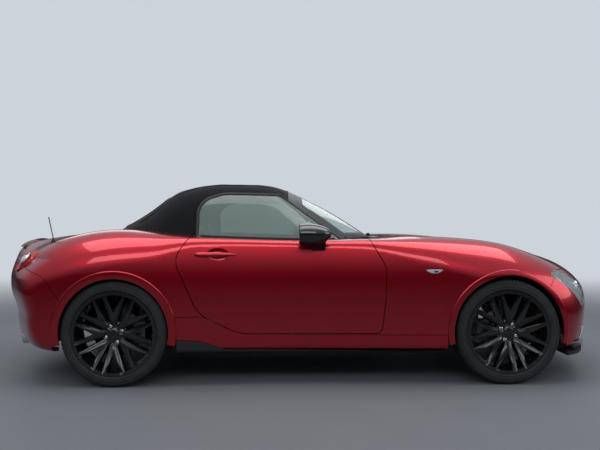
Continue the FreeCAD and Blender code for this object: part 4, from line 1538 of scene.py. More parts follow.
        lamp = stuck_on("corner_lamp_", [around(42, 0.256), around(52, 0.270), around(48, 0.322)],
                        BODY.outward(around(47, 0.28)), 0.002, 3)
        finished(lamp, PALE_LENS, "car")
        route = [around(degrees, 0.240) for degrees in between(34, 68, 16)]
        fin = sweep("splitter_fin_" + side.letter, route, flat_out,
                    [(side.sign * a, b) for a, b in self.fin], False,
                    lambda share: 0.12 + 0.88 * ease(min(share / 0.75, (1 - share) / 0.25)))
        finished(fin, BRIGHT_TRIM, "car")
        corners = [around(degrees, z, -1.4) for degrees, z in ((132, 0.352), (144, 0.352),
                                                               (144, 0.334), (132, 0.334))]
        reflector = stuck_on("rear_reflector_", corners, BODY.outward(corners[0]), 0.0015, 2)
        finished(reflector, TAIL_LENS, "car")

    def roll_lip(self, side: Side, end: str, x: float, width: float) -> None:
        """Raised lip round a wheel arch, in paint, turned in at its edge.

        Args:
            side: Side of the car.
            end: Name of the arch.
            x: Middle of the arch in metres.
            width: Width of the lip.
        """
        route = []
        for turn in map(math.radians, between(-12, 192, 72)):
            across = x + self.arch_radius * math.cos(turn)
            height = self.arch_z + self.arch_radius * math.sin(turn)
            route.append(BODY.beside(across, height, side.sign))
        h = self.lip_height
        section = [(0.0, -0.022), (0.0, h - 0.002), (0.002, h), (0.006, h + 0.0006),
                   (width - 0.006, h * 0.62), (width - 0.001, h * 0.35), (width, -0.002),
                   (0.005, -0.002), (0.004, -0.022)]
        lip = sweep("arch_lip_" + end + "_" + side.letter, route, BODY.outward,
                    [(side.sign * a, b) for a, b in section])
        finished(lip, PAINT, "car")

    def fit_wipers(self) -> None:
        """Two wipers with their arms and pivots. Their blades lie too low, as above() fails."""
        def base(y: float, lift: float) -> Vector:
            """Point above the foot of the windscreen."""
            return CABIN.above(0.446 - 0.10 * (y / 0.55) ** 2, y) + Vector((0.004, 0, lift))
        for name, pivot_y, tip_y in self.wipers:
            route = [base(y - 0.02, 0.012) for y in between(pivot_y, tip_y, 20)]
            blade = sweep("wiper_blade_" + name, route, lambda point: Vector((0.3, 0, 1)),
                          self.wiper_blade)
            finished(blade, SEAL_RUBBER)
            middle = base((pivot_y + tip_y) / 2, 0.023)
            foot = BODY.above(0.500, pivot_y) + Vector((0, 0, 0.014))
            line = [foot.lerp(middle, share) + Vector((0, 0, 0.010 * math.sin(math.pi * share)))
                    for share in between(0.0, 1.0, 8)]
            arm = sweep("wiper_arm_" + name, line, lambda point: Vector((0, 0, 1)),
                        strip(-0.009, 0.009, -0.004, 0.004, 0.003), False, lambda s: 1 - 0.45 * s)
            finished(arm, SATIN_PLASTIC)
            turned("wiper_hub_" + name, self.wiper_hub, foot, Vector((0, 0, 1)),
                   SATIN_PLASTIC, steps=24)

    def fit_flap(self) -> None:
        """Seam of the fuel flap on the left rear quarter."""
        route = []
        for turn in turns(64):
            square = (abs(math.cos(turn)) ** 5 + abs(math.sin(turn)) ** 5) ** -0.2
            x = self.flap_middle[0] + self.flap[0] * square * math.cos(turn)
            z = self.flap_middle[1] + self.flap[1] * square * math.sin(turn)
            route.append(BODY.beside(x, z, Side.LEFT.sign))
        seam = sweep("fuel_flap_seam", route, BODY.outward,
                     strip(-0.0014, 0.0014, -0.003, 0.0006, 0.0004), True)
        finished(seam, SEAL_RUBBER, "car")


@dataclass
class Glazing:
    """Window glass with its seals and printed borders."""

    seal_width: float = 0.021
    screen_border: float = 0.052
    rear_border: float = 0.022
    rim_step: float = 0.012
    belt_z: float = 0.866

    def build(self) -> None:
        """Builds the glass and what frames it."""
        for side in Side:
            self.glaze_door(side)
        for node, border in (("windscreen", self.screen_border),
                             ("rear_window", self.rear_border)):
            CABIN.dress(smooth_copy(node, SCREEN_GLASS))
            rim = outer_rims(node, 0.8, self.rim_step)[0]
            section = self.turned_out(rim, sum(rim, Vector()) / len(rim),
                                      strip(-border, 0.0015, -0.003, 0.0007, 0.0005))
            band = sweep(node + "_border", rim, CABIN.outward, section, True)
            finished(band, SATIN_PLASTIC, body_of_node(node))

    def turned_out(self, line: Sequence[Vector], middle: Vector, section: Profile) -> Profile:
        """A section whose positive side points away from the pane's middle along a line.

        Args:
            line: The points that the section runs along.
            middle: Middle of the pane.
            section: The section.

        Returns:
            The section, mirrored if need be.
        """
        ahead = (line[1] - line[0]).cross(CABIN.outward(line[0]))
        way = 1 if ahead.dot(line[0] - middle) > 0 else -1
        return [(way * a, b) for a, b in section]

    def glaze_door(self, side: Side) -> None:
        """Door glass, the rubber that it closes against and the weather strip below it.

        Args:
            side: Side of the car.
        """
        node = "door_glass_" + side.letter
        CABIN.dress(smooth_copy(node, SIDE_GLASS))
        rim = outer_rims(node, 0.8, self.rim_step)[0]
        start = max(range(len(rim)), key=lambda i: (rim[i].z < self.belt_z) * 10 - rim[i].x)
        rim = rim[start:] + rim[:start]
        upper = [point for point in rim if point.z >= self.belt_z]
        breaks = [i for i in range(1, len(upper)) if (upper[i] - upper[i - 1]).length > 0.05]
        if breaks:
            upper = upper[breaks[0]:] + upper[:breaks[0]]
        section = [(0.0015, -0.010), (self.seal_width, -0.010), (self.seal_width, 0.001),
                   (self.seal_width - 0.003, 0.0045), (0.007, 0.006), (0.003, 0.004),
                   (0.0015, 0.000)]
        seal = sweep("window_seal_" + side.letter, upper, CABIN.outward,
                     self.turned_out(upper, sum(rim, Vector()) / len(rim), section))
        finished(seal, SEAL_RUBBER)
        places = [point.x for point in upper]
        belt = []
        for x in between(min(places) + 0.012, max(places) - 0.01, 39):
            y = CABIN.beside(x, 0.87, side.sign).y + side.sign * 0.006
            belt.append(Vector((x, y, BODY.above(x, y).z)))
        wiper = sweep("belt_strip_" + side.letter, belt, lambda point: Vector((0, 0, 1)),
                      strip(-0.006, 0.006, -0.004, 0.009, 0.003))
        finished(wiper, SEAL_RUBBER, body_of_node(node))


@dataclass
class Lamps:
    """Head lamps and tail lamps."""

    head_y: float = 0.640
    head_z: float = 0.560
    tail_y: float = 0.628
    tail_z: float = 0.722
    sink: float = 0.044
    ring: Profile = ((0.030, 0.0), (0.044, 0.0), (0.046, 0.010), (0.043, 0.026), (0.036, 0.030),
                     (0.031, 0.020))
    projector: Profile = ((0, 0.004), (0.032, 0.004), (0.032, 0.014), (0.026, 0.026),
                          (0.015, 0.033), (0.006, 0.0355), (0, 0.036))
    tail_ring: Profile = ((0.036, 0.004), (0.048, 0.004), (0.051, 0.012), (0.047, 0.018),
                          (0.040, 0.018), (0.036, 0.012))
    tail_dome: Profile = ((0, 0.003), (0.036, 0.003), (0.036, 0.013), (0.030, 0.022),
                          (0.019, 0.029), (0.008, 0.032), (0, 0.0325))

    def build(self) -> None:
        """Builds the four lamps."""
        BODY.dress(smooth_copy("headlamp_lenses", LAMP_LENS))
        smooth_copy("tail_lamps", TAIL_LENS, 40)
        self.build_bowls()
        for side in Side:
            self.fit_projector(side)
            self.fit_tail(side)

    def build_bowls(self) -> None:
        """Metal bowls behind the head lamp lenses, sunk from the housings' faces."""
        bowl = copy_of("headlamp_housings", "headlamp_bowls")
        keep_faces(bowl, lambda middle, normal: normal.dot(BODY.outward(middle)) > 0.8
                   and BODY.depth(middle) > -0.03)
        with editing(bowl):
            bpy.ops.mesh.extrude_region_move(TRANSFORM_OT_translate={"value": (-0.034, 0, -0.004)})
            bpy.ops.transform.resize(value=(1.0, 1.0, 0.86), center_override=(0, 0, self.head_z))
        keep_faces(bowl, lambda middle, normal: BODY.depth(middle) < -0.012
                   or abs(normal.dot(BODY.outward(middle))) < 0.8)
        apply(bowl, "SOLIDIFY", thickness=0.002, offset=-1)
        smooth(bowl, 40)
        finished(bowl, LAMP_SILVER)
        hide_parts("headlamp_housings")

    def fit_projector(self, side: Side) -> None:
        """Projector lens in its ring.

        Args:
            side: Side of the car.
        """
        start = Vector((1.3, side.sign * self.head_y, self.head_z))
        face = BODY.reach(start, start + Vector((0.8, 0, 0)))
        forward = (BODY.outward(face) + Vector((0.9, 0, 0))).normalized()
        place = face - forward * self.sink
        turned("projector_ring_" + side.letter, self.ring, place, forward, BRIGHT_METAL)
        turned("projector_lens_" + side.letter, self.projector, place, forward, DARK_LENS)

    def fit_tail(self, side: Side) -> None:
        """Ring and clear dome on a tail lamp.

        Args:
            side: Side of the car.
        """
        start = Vector((-1.5, side.sign * self.tail_y, self.tail_z))
        face = BODY.reach(start, start + Vector((-0.6, 0, 0)))
        way = (BODY.outward(face) + Vector((-0.35, 0, 0))).normalized()
        turned("tail_ring_" + side.letter, self.tail_ring, face, way, BRIGHT_TRIM,
               steps=56)
        turned("tail_dome_" + side.letter, self.tail_dome, face, way, PALE_LENS)


@dataclass
class RoadWheels:
    """Wheels with their nuts and caps, brakes, and tyres with their tread."""

    corners: tuple[str, ...] = ("fr", "fl", "rr", "rl")
    axle_z: float = 0.309
    front_x: float = 1.2225
    rear_x: float = -1.0875
    front_y: float = 0.7475
    rear_y: float = 0.7525
    tyre_radius: float = 0.309
    tyre_half: float = 0.1025
    bead: float = 0.2465
    shoulder: float = 0.052
    rib: tuple[float, float] = (0.006, 0.041)
    rib_middle: float = 0.020
    groove: tuple[float, float] = (0.043, 0.050)
    groove_depth: float = 0.006
    shoulder_cut: float = 0.003
    rib_cut: float = 0.005
    tread_steps: int = 168
    slot_narrowing: float = 0.5
    nut_circle: float = 0.050
    nut: tuple[float, float] = (0.0105, 0.024)
    front_turn: float = 41.0
    first_nut: float = 22.5
    disc_radius: float = 0.1405
    disc_half: float = 0.0125
    valve_circle: float = 0.214
    nut_y: float = 0.074
    cap_y: float = 0.0865
    valve_y: float = 0.060
    cap: Profile = ((0, 0.0), (0.024, 0.0), (0.027, 0.0015), (0.0275, 0.005), (0.025, 0.0065),
                    (0.021, 0.0055), (0.018, 0.006), (0, 0.0072))
    valve: Profile = ((0, 0), (0.004, 0), (0.004, 0.018), (0.0052, 0.019), (0.0052, 0.031),
                      (0.003, 0.033), (0, 0.033))

    def middle(self, corner: str) -> Vector:
        """Middle of a wheel.

        Args:
            corner: Letters of the wheel.

        Returns:
            The point.
        """
        front = corner[0] == "f"
        return Vector((self.front_x if front else self.rear_x,
                       self.out(corner).y * (self.front_y if front else self.rear_y),
                       self.axle_z))

    def out(self, corner: str) -> Vector:
        """Direction out of the car at a wheel."""
        return Vector((0, -1 if corner[1] == "r" else 1, 0))

    def build(self) -> None:
        """Dresses the four corners."""
        tyre = self.mould_tyre()
        for corner in self.corners:
            self.fit_wheel(corner)
            own = twin(tyre, "tyre_" + corner + "_treaded")
            aimed(own, self.middle(corner), self.out(corner))
            finished(own, TYRE_RUBBER, body_of_node("tyre_" + corner))
            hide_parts("tyre_" + corner)
        bpy.data.objects.remove(tyre)

    def mould_tyre(self) -> Piece:
        """Tyre about Z with sidewall rings, three grooves and cut shoulder blocks.

        Returns:
            The tyre at the origin.
        """
        r, h, b = self.tyre_radius, self.tyre_half, self.bead
        outer = [(b, h - 0.012), (b + 0.003, h - 0.004), (b + 0.007, h - 0.0015),
                 (b + 0.010, h), (b + 0.013, h - 0.0035), (b + 0.024, h - 0.001),
                 (b + 0.030, h - 0.0015), (b + 0.033, h - 0.004), (r - 0.022, h - 0.005),
                 (r - 0.020, h - 0.0035), (r - 0.010, h - 0.008), (r - 0.004, h - 0.014),
                 (r - 0.001, h - 0.023)]
        deep, (inner, outer_rib) = r - self.groove_depth, self.rib
        tread = [(r - 0.0004, h - 0.030), (r, self.shoulder), (deep, self.groove[1]),
                 (deep, self.groove[0]), (r, outer_rib), (r, self.rib_middle), (r, inner),
                 (deep, 0.004)]
        half = outer + tread
        mirror = [(radius, -height) for radius, height in reversed(half)]
        profile = half + mirror + [(b - 0.0015, -0.05), (b - 0.0015, 0.05)]
        tyre = lathe("tyre_mould", profile, self.tread_steps)
        step = 2 * math.pi / self.tread_steps
        narrower = Quaternion((0, 0, 1), -self.slot_narrowing * step)
        for vertex in tyre.data.vertices:
            if round(math.atan2(vertex.co.y, vertex.co.x) / step) % 2:
                vertex.co = narrower @ vertex.co

        def at_step(middle: Vector) -> int:
            """Number of the tread's step that a point lies in."""
            return math.floor(math.atan2(middle.y, middle.x) / step + 0.2)

        def in_shoulder_cut(middle: Vector, normal: Vector) -> bool:
            """Whether a face lies in a cut of the shoulder.

            Args:
                middle: Middle of a face.
                normal: Normal of a face, not used.

            Returns:
                Whether the face is sunk.
            """
            radius = math.hypot(middle.x, middle.y)
            return (r - 0.024 < radius < r + 0.001 and self.shoulder < abs(middle.z) < h - 0.004
                    and at_step(middle) % 2 == 0)

        def in_rib_cut(middle: Vector, normal: Vector) -> bool:
            """Whether a face lies in a cut of the ribs.

            Args:
                middle: Middle of a face.
                normal: Normal of a face, not used.

            Returns:
                Whether the face is sunk.
            """
            radius = math.hypot(middle.x, middle.y)
            return (radius > r - 0.003 and inner < abs(middle.z) < outer_rib
                    and at_step(middle) % 4 == (0 if abs(middle.z) > self.rib_middle else 2))

        for chosen, depth in ((in_shoulder_cut, self.shoulder_cut), (in_rib_cut, self.rib_cut)):
            with editing(tyre, "FACE", chosen):
                bpy.ops.mesh.extrude_region_move()
                bpy.ops.transform.shrink_fatten(value=-depth)
        clean(tyre, 0.000002)
        return smooth(tyre, 28)

    def fit_wheel(self, corner: str) -> None:
        """Wheel in gloss black, steel disc, bright nuts, cap and valve.

        Args:
            corner: Letters of the wheel.
        """
        node = "wheel_" + corner
        body = body_of_node(node)
        middle, out = self.middle(corner), self.out(corner)
        wheel = smooth_copy(node, WHEEL_BLACK, 30)

        def on_disc(place: Vector, normal: Vector) -> bool:
            """Whether a face belongs to the brake disc."""
            radius = math.hypot(place.x - middle.x, place.z - middle.z)
            return radius < self.disc_radius and abs(middle.y - place.y) < self.disc_half

        repaint(wheel, DISC_STEEL, on_disc)
        first = self.first_nut + (self.front_turn if corner[0] == "f" else 0.0)

        def on_circle(degrees: float, radius: float, outside: float) -> Vector:
            """Point on a circle about the axle.

            Args:
                degrees: Angle round the axle.
                radius: Distance from the axle.
                outside: Distance out of the wheel's middle.

            Returns:
                The point.
            """
            angle = math.radians(degrees)
            return middle + out * outside + Vector((radius * math.cos(angle), 0,
                                                    radius * math.sin(angle)))

        for i in range(4):
            nut = aimed(self.forge_nut("wheel_nut_" + corner + str(i)),
                        on_circle(first + 90 * i, self.nut_circle, self.nut_y), out)
            finished(nut, BRIGHT_METAL, body)
        turned("wheel_cap_" + corner, self.cap, middle + out * self.cap_y, out, WHEEL_BLACK,
               body)
        turned("valve_" + corner, self.valve,
               on_circle(first, self.valve_circle, self.valve_y), out, SEAL_RUBBER, body,
               16)

    def forge_nut(self, name: str) -> Piece:
        """Six-sided nut about Z with a narrower crown.

        Args:
            name: Name of the piece.

        Returns:
            The nut at the origin.
        """
        deselect()
        bpy.ops.mesh.primitive_cylinder_add(vertices=6, radius=self.nut[0], depth=self.nut[1])
        nut = bpy.context.object
        nut.name = name
        with editing(nut, "FACE", lambda middle, normal: normal.z > 0.9):
            bpy.ops.mesh.inset(thickness=0.002)
            bpy.ops.mesh.extrude_region_move(TRANSFORM_OT_translate={"value": (0, 0, 0.005)})
            bpy.ops.transform.resize(value=(0.7, 0.7, 1.0))
        return soften(nut, 0.0012)


@dataclass
class SoftTop:
    """The cloth top: outer cloth, headlining, seams and edge bindings."""

    cloth: float = 0.0035
    bows: tuple[float, ...] = (-0.800, -0.520, -0.270)
    bow_width: float = 0.035
    bow_rise: float = 0.0022
    hang: float = 0.0014
    fold_rate: float = 46.0
    fold_depth: float = 0.0011
    flat_length: float = 1.50
    flat_share: float = 0.86
    lining_length: float = 1.45
    lining_share: float = 0.93
    seam_y: float = 0.445
    seam_x: tuple[float, float] = (-1.16, -0.10)
    welt: Profile = ((-0.008, -0.002), (0.008, -0.002), (0.0075, 0.0008), (0.002, 0.0016),
                     (0.0, 0.0008), (-0.002, 0.0016), (-0.0075, 0.0008))

    def sag(self, point: Vector) -> float:
        """How far the cloth stands in or out of its drawn form at a point, in metres.

        Args:
            point: A point in metres.

        Returns:
            The distance outwards.
        """
        over = math.exp(-((abs(point.y) / 0.52) ** 6))
        lift = sum(math.exp(-((point.x - bow) / self.bow_width) ** 2) for bow in self.bows)
        low = ease((1.15 - point.z) / 0.25) * ease((abs(point.y) - 0.30) / 0.25)
        folds = math.sin(self.fold_rate * (point.x + 0.55 * (point.z - 0.9)))
        return (self.bow_rise * lift - self.hang) * over + folds * self.fold_depth * low

    def build(self) -> None:
        """Builds the top."""
        top = copy_of("soft_top", "top_cloth")
        lining = twin(top, "top_lining")
        keep_faces(top, lambda middle, normal: normal.dot(CABIN.outward(middle)) > 0.6)
        for vertex in top.data.vertices:
            vertex.co += CABIN.outward(vertex.co) * self.sag(vertex.co)
        apply(top, "SOLIDIFY", thickness=self.cloth, offset=-1)
        smooth(top, 40)
        self.weave(top)
        finished(top, HOOD_CLOTH, "car")
        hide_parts("soft_top")
        keep_faces(lining, lambda middle, normal: normal.dot(CABIN.outward(middle)) < -0.6)
        apply(lining, "SOLIDIFY", thickness=0.002, offset=-1)
        self.weave(smooth(lining, 40))
        finished(lining, LINING, "car")
        bound = [self.sew_seam(side) for side in Side]
        bound += self.bind_edges()

    def weave(self, cloth: Piece) -> None:
        """UV map in metres for the weave."""
        with editing(cloth):
            bpy.ops.uv.cube_project(cube_size=1.0)

    def sew_seam(self, side: Side) -> Piece:
        """Welted seam along one side of the roof.

        Args:
            side: Side of the car.

        Returns:
            The seam.
        """
        route = []
        for x in between(*self.seam_x, 89):
            y = side.sign * (self.seam_y + 0.06 * ease((-x - 0.55) / 0.6))
            point = CABIN.above(x, y)
            route.append(point + CABIN.outward(point) * self.sag(point))
        seam = sweep("top_seam_" + side.letter, route, CABIN.outward, self.welt)
        return finished(seam, HOOD_WELT, "car")

    def bind_edges(self) -> list[Piece]:
        """Bindings round the rear window and along the foot of the cloth.

        Returns:
            The bindings.
        """
        pieces = []
        for place, line in enumerate(outer_rims("soft_top", 0.6, 0.014)[:2]):
            binding = sweep(f"top_binding_{place}", line, CABIN.outward,
                            oval(0.009, 0.005, 8, (0.0, 0.0003)), True)
            pieces.append(finished(binding, HOOD_WELT, "car"))
        return pieces


@dataclass
class Cabin:
    """Seats, dashboard and controls."""

    seat_y: float = 0.365
    seat_half: float = 0.235
    rest_z: float = 0.80
    pad_half: float = 0.132
    dish: float = 0.026
    rib_depth: float = 0.0035
    rib_pitch: float = 0.062
    channel_depth: float = 0.009
    swell: float = 0.010
    plain: dict[str, Finish] = field(default_factory=lambda: {
        "dashboard": CABIN_PLASTIC, "console": CABIN_PLASTIC, "roll_hoops": SATIN_PLASTIC})
    steer: Point = (0.040, 0.365, 0.760)
    tilt: float = 24.0
    gauge_x: float = 0.180
    gauge_z: float = 0.812
    gauges: tuple[tuple[str, float, float], ...] = (("middle", 0.365, 0.052),
                                                    ("left", 0.470, 0.036),
                                                    ("right", 0.260, 0.036))
    vents: tuple[tuple[str, float], ...] = (("ro", -0.585), ("ri", -0.16), ("li", 0.16),
                                            ("lo", 0.585))
    vent: Profile = ((0, 0), (0.040, 0), (0.043, 0.008), (0.040, 0.014), (0.033, 0.011),
                     (0.030, 0.004), (0.012, 0.004), (0.010, 0.012), (0, 0.012))
    horn_pad: Profile = ((0, 0.010), (0.056, 0.010), (0.060, 0.014), (0.056, 0.022),
                         (0.034, 0.029), (0, 0.031))
    pedals: tuple[tuple[float, float], ...] = ((0.40, 0.30), (0.40, 0.40), (0.36, 0.50))
    webbing: Profile = ((-0.023, -0.0006), (0.023, -0.0006), (0.023, 0.0006),
                        (-0.023, 0.0006))
    card: Profile = ((-0.56, 0.44), (0.36, 0.36), (0.38, 0.60), (0.36, 0.76), (-0.60, 0.76),
                     (-0.63, 0.60))
    pad_frames: int = 14
    pad_pressure: float = 4.0
    card_y: float = 0.748
    belt: tuple[Point, ...] = ((-0.752, 0.600, 0.775), (-0.735, 0.605, 0.700),
                               (-0.690, 0.607, 0.520), (-0.640, 0.607, 0.360),
                               (-0.600, 0.605, 0.240))

    def build(self) -> None:
        """Builds the cabin."""
        for node, finish in self.plain.items():
            smooth_copy(node, finish)
        self.pad_seats()
        self.dress_wheel()
        self.dress_dash()
        self.hang_belts()
        for side in Side:
            self.line_door(side)
        self.fit_mirror()

    def pad_seats(self) -> None:
        """Two seats, each padded from its solid."""
        padded = []
        for side in Side:
            seat = copy_of("seats", "seat_" + side.letter)
            keep_faces(seat, lambda middle, normal: middle.y * side.sign > 0)
            apply(seat, "REMESH", mode="VOXEL", voxel_size=0.011)
            self.sculpt(seat, side)
            self.swell_pad(seat)
            apply(seat, "SMOOTH", factor=0.5, iterations=2)
            apply(seat, "SUBSURF", levels=1, render_levels=1)
            smooth(seat, 60)
            finished(seat, HIDE, "car")
            repaint(seat, SEAT_CLOTH, lambda middle, normal:
                    abs(middle.y - side.sign * self.seat_y) < self.pad_half
                    and normal.x + normal.z > 0.7 and middle.z < self.rest_z)
            padded.append(seat)
        for seat in reversed(padded):
            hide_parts("seats")

    def sculpt(self, seat: Piece, side: Side) -> None:
        """Raises the bolsters and sinks the channels of a seat.

        Args:
            seat: The seat.
            side: Side of the car.
        """
        for vertex in seat.data.vertices:
            across = (vertex.co.y - side.sign * self.seat_y) / self.seat_half
            up = ease((vertex.normal.x + vertex.normal.z - 0.3) / 0.6)
            sunk = self.dish * (1 - min(1.0, abs(across)) ** 2.5)
            sunk += self.channel_depth * math.exp(-((abs(across) - 0.60) / 0.045) ** 2)
            if abs(across) < 0.57 and vertex.co.z < self.rest_z:
                wave = (vertex.co.x * 0.5 - vertex.co.z) * 2 * math.pi / self.rib_pitch
                sunk += self.rib_depth * max(0.0, math.cos(wave)) ** 6
            vertex.co -= vertex.normal * (up * sunk)

    def swell_pad(self, seat: Piece) -> None:
        """Puffs a seat up with cloth pressure and keeps what a real pad would show.

        Args:
            seat: The seat.
        """
        start = [vertex.co.copy() for vertex in seat.data.vertices]
        pick(seat)
        cloth = seat.modifiers.new("pad", "CLOTH")
        cloth.settings.use_pressure = True
        cloth.settings.uniform_pressure_force = self.pad_pressure
        cloth.settings.effector_weights.gravity = 0.0
        cloth.settings.quality = 4
        cloth.point_cache.frame_start = 1
        cloth.point_cache.frame_end = self.pad_frames
        for step in range(1, self.pad_frames + 1):
            bpy.context.scene.frame_set(step)
        bpy.ops.object.modifier_apply(modifier=cloth.name)
        bpy.context.scene.frame_set(1)
        for vertex, place in zip(seat.data.vertices, start):
            moved = vertex.co - place
            if moved.length > self.swell:
                vertex.co = place + moved * (self.swell / moved.length)

    def dress_wheel(self) -> None:
        """Leather rim, satin spokes and a horn pad."""
        wheel = smooth_copy("steering_wheel", HIDE)
        axis = Vector((-math.cos(math.radians(self.tilt)), 0, math.sin(math.radians(self.tilt))))
        at = Vector(self.steer)
        repaint(wheel, SATIN_PLASTIC, lambda middle, normal:
                (middle - at - axis * (middle - at).dot(axis)).length < 0.150)
        turned("horn_pad", self.horn_pad, at, axis, CABIN_PLASTIC, "steering_wheel")

    def dress_dash(self) -> None:
        """Gauges, vents, screen and pedals."""
        for name, y, radius in self.gauges:
            inner = radius - 0.006
            at, back = Vector((self.gauge_x, y, self.gauge_z)), Vector((-0.96, 0, 0.27))
            turned("gauge_ring_" + name, [(inner, 0), (radius, 0), (radius, 0.008),
                                          (radius - 0.003, 0.010), (inner, 0.006)],
                   at, back, BRIGHT_TRIM)
            turned("gauge_dial_" + name, [(0, 0.001), (inner, 0.001), (inner, 0.003), (0, 0.0025)],
                   at, back, DARK_LENS)
        for name, y in self.vents:
            turned("vent_" + name, self.vent, Vector((0.226, y, 0.752)),
                   Vector((-0.93, 0, 0.2)), SATIN_PLASTIC)
        screen = plate("dash_screen", (0.232, 0.822), (0.222, 0.925), (-0.095, 0.095),
                       (0.014, 0, 0.002), 0.003)
        finished(screen, DARK_LENS)
        for x, y in self.pedals:
            pedal = plate(f"pedal_{round(y * 100)}", (x, 0.30), (x + 0.03, 0.375),
                          (y - 0.03, y + 0.03), (0.008, 0, -0.003), 0.003)
            finished(pedal, SATIN_PLASTIC)

    def hang_belts(self) -> None:
        """Seat belts from the hoops to the seats' sides."""
        for side in Side:
            route = [Vector((x, side.sign * y, z)) for x, y, z in self.belt]
            line = even_steps(route, 0.02, False)
            belt = sweep("belt_" + side.letter, line, lambda point: Vector((0, side.sign, 0.12)),
                         self.webbing)
            finished(belt, WEBBING, "car")

    def line_door(self, side: Side) -> None:
        """Door card with its arm rest.

        Args:
            side: Side of the car.
        """
        node = "door_" + side.letter
        body, sign = body_of_node(node), side.sign
        y = sign * self.card_y
        card = slab("door_card_" + side.letter, [(x, y, z) for x, z in self.card],
                    (0, -sign * 0.012, 0), 0.006, 3)
        finished(card, CABIN_PLASTIC, body)
        route = [Vector((x, y - sign * 0.030, 0.600 + 0.035 * ease((x + 0.50) / 0.60)))
                 for x in between(-0.50, 0.10, 16)]
        rest = sweep("arm_rest_" + side.letter, route, lambda point: Vector((0, -sign, 0)),
                     oval(0.052, 0.052, 16), False,
                     lambda share: 0.35 + 0.65 * ease(min(share, 1 - share) / 0.18))
        finished(rest, HIDE, body)

    def fit_mirror(self) -> None:
        """Inner mirror on the windscreen's top."""
        at = CABIN.above(0.02, 0.0) + Vector((0.0, 0, -0.085))
        glass = plate("inner_mirror", (at.x, at.z - 0.028), (at.x + 0.008, at.z + 0.028),
                      (-0.105, 0.105), (0.016, 0, 0), 0.006, 3)
        finished(glass, SATIN_PLASTIC)
        repaint(glass, MIRROR_SILVER, lambda middle, normal: normal.x < -0.9)
        line = even_steps([at + Vector((0.016, 0, 0.01)), at + Vector((0.030, 0, 0.040)),
                           CABIN.above(0.045, 0.0) + Vector((0, 0, -0.008))], 0.012, False)
        stem = sweep("inner_mirror_stem", line, lambda point: Vector((0, 1, 0)),
                     oval(0.016, 0.016, 10))
        finished(stem, SATIN_PLASTIC)


@dataclass
class UnderParts:
    """Running gear, drive and structure."""

    finishes: dict[str, Finish] = field(default_factory=lambda: {
        "knuckle_r": CALIPER_GREY, "knuckle_l": CALIPER_GREY, "front_suspension": CAST_METAL,
        "rear_suspension": CAST_METAL, "rear_uprights": CALIPER_GREY, "engine_block": CAST_METAL,
        "driveline": UNDER_STEEL, "exhaust": UNDER_STEEL, "radiator": UNDER_STEEL,
        "floor_pan": UNDER_PAINT, "front_frame": UNDER_PAINT, "boot_tub": UNDER_PAINT,
        "wheel_liners": LINER_PLASTIC})

    def build(self) -> None:
        """Finishes each node."""
        for node, finish in self.finishes.items():
            piece = smooth_copy(node, finish)
            if node == "exhaust":
                repaint(piece, BRIGHT_METAL, lambda middle, normal: middle.x < -1.702)
            if node == "floor_pan":
                repaint(piece, CARPET, lambda middle, normal:
                        normal.z > 0.9 and middle.z < 0.30 and abs(middle.y) < 0.65)


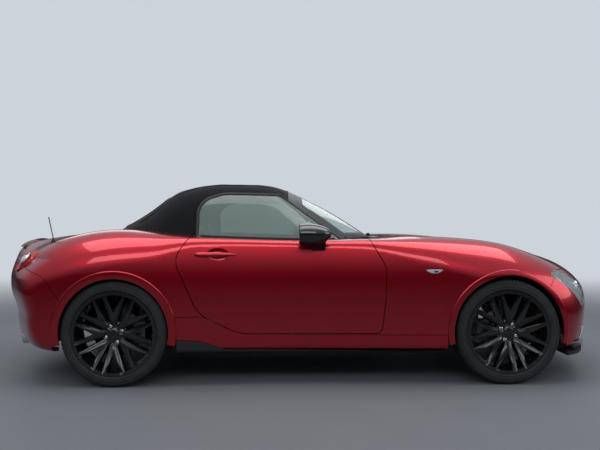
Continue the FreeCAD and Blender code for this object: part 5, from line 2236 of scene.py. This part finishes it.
@dataclass
class Studio:
    """Floor, surround, lamps and camera."""

    floor_colour: Colour = srgb(104, 106, 111)
    wall_colour: Colour = srgb(204, 211, 218)
    dusk_colour: Colour = srgb(46, 48, 53)
    sky_colour: Colour = srgb(178, 184, 192)
    eye: Point = (-0.11, -4.45, 0.94)
    yaw: float = -0.028
    focal_px: float = 619.0
    fade: tuple[float, float] = (3.2, 9.0)

    def build(self) -> None:
        """Builds the whole studio."""
        self.lay_floor()
        self.hang_lamps()
        self.light_surround()
        self.set_camera()
        bpy.context.scene.view_settings.view_transform = "Standard"

    def lay_floor(self) -> None:
        """Flat floor that fades into the surround's colour with distance."""
        deselect()
        bpy.ops.mesh.primitive_plane_add(size=1.0, location=(0, 0, -0.001))
        floor = bpy.context.object
        floor.name = "studio_floor"
        floor.scale = (120, 120, 1)
        settle(floor)
        bench = ShaderBench("studio_floor")
        worn = toned(self.floor_colour, 0.94)
        bench.set(Base_Color=bench.ramp(bench.noise(3, 6), (0.3, self.floor_colour), (0.8, worn)),
                  Roughness=0.6, Specular_IOR_Level=0.3)
        away = bench.add("VectorMath", {0: bench.coordinates["Object"]}, "Value",
                         operation="LENGTH")
        near, far = self.fade
        share = bench.add("MapRange", {"Value": away, "From Min": near, "From Max": far},
                          "Result", interpolation_type="SMOOTHSTEP")
        glow = bench.add("Emission", {"Color": self.background(bench, (*self.dusk_colour, 1.0))})
        mixed = bench.add("MixShader", {"Fac": share, 1: bench.shader.outputs["BSDF"], 2: glow})
        bench.put(bench.tree.nodes["Material Output"].inputs["Surface"], mixed)
        floor.data.materials.append(bench.material)

    def hang_lamps(self) -> None:
        """Soft boxes over and beside the car."""
        boxes = (("over", (0.2, -0.6, 3.4), (0.1, 0.0, 0.6), (6.0, 2.0), 105.0),
                 ("side", (-0.6, -5.4, 3.6), (0.0, 0.0, 0.5), (6.0, 1.4), 80.0),
                 ("nose", (5.2, -1.8, 2.4), (0.8, 0.0, 0.5), (3.0, 2.0), 36.0),
                 ("back", (-1.0, 5.6, 3.6), (0.0, 0.0, 0.5), (7.0, 3.0), 60.0))
        for name, place, aim, size, power in boxes:
            lamp = bpy.data.lights.new("softbox_" + name, "AREA")
            lamp.shape = "RECTANGLE"
            lamp.size, lamp.size_y = size
            lamp.energy = power
            holder = bpy.data.objects.new("softbox_" + name, lamp)
            holder.location = place
            way = Vector(aim) - Vector(place)
            holder.rotation_euler = way.to_track_quat("-Z", "Y").to_euler()
            bpy.context.scene.collection.objects.link(holder)

    def light_surround(self) -> None:
        """Surround that is pale above and dusky low down, and plain to the camera."""
        world = bpy.data.worlds.new("studio_surround")
        world.use_nodes = True
        bench = Bench(world.node_tree)
        height = bench.add("SeparateXYZ", {"Vector": bench.coordinates["Generated"]}, "Z")
        sky = bench.ramp(height, (0.04, self.dusk_colour), (0.34, self.sky_colour),
                         (0.8, self.wall_colour))
        back = bench.tree.nodes["Background"].inputs
        bench.put(back["Color"], self.background(bench, sky))
        bench.put(back["Strength"], 1.0)
        bpy.context.scene.world = world

    def background(self, bench: Bench, lighting: Socket | tuple) -> Socket:
        """Wall colour for what the camera sees, also through glass, and another for light.

        Args:
            bench: The bench of the node tree.
            lighting: Colour that lights the car, as an output or as a constant.

        Returns:
            The colour output.
        """
        path = bench.tree.nodes.new("ShaderNodeLightPath").outputs
        seen = bench.math("MAXIMUM", path["Is Camera Ray"], path["Is Transmission Ray"])
        return bench.add("Mix", {"Factor": seen, "A": lighting, "B": (*self.wall_colour, 1.0)},
                         "Result", data_type="RGBA")

    def set_camera(self) -> None:
        """Camera where the photograph was taken from."""
        lens = bpy.data.cameras.new("camera")
        lens.sensor_width = 36.0
        lens.lens = self.focal_px * 36.0 / 600.0
        camera = bpy.data.objects.new("camera", lens)
        camera.location = self.eye
        camera.rotation_euler = (math.pi / 2, 0, self.yaw)
        bpy.context.scene.collection.objects.link(camera)
        bpy.context.scene.camera = camera


def main() -> None:
    """Builds every sub-assembly in order."""
    for part in (BodyShell(), Glazing(), Lamps(), RoadWheels(), SoftTop(), Cabin(), UnderParts(),
                 Studio()):
        started = time.monotonic()
        part.build()
        log.info("%s built in %.1f s", type(part).__name__, time.monotonic() - started)


if __name__ == "__main__":
    main()
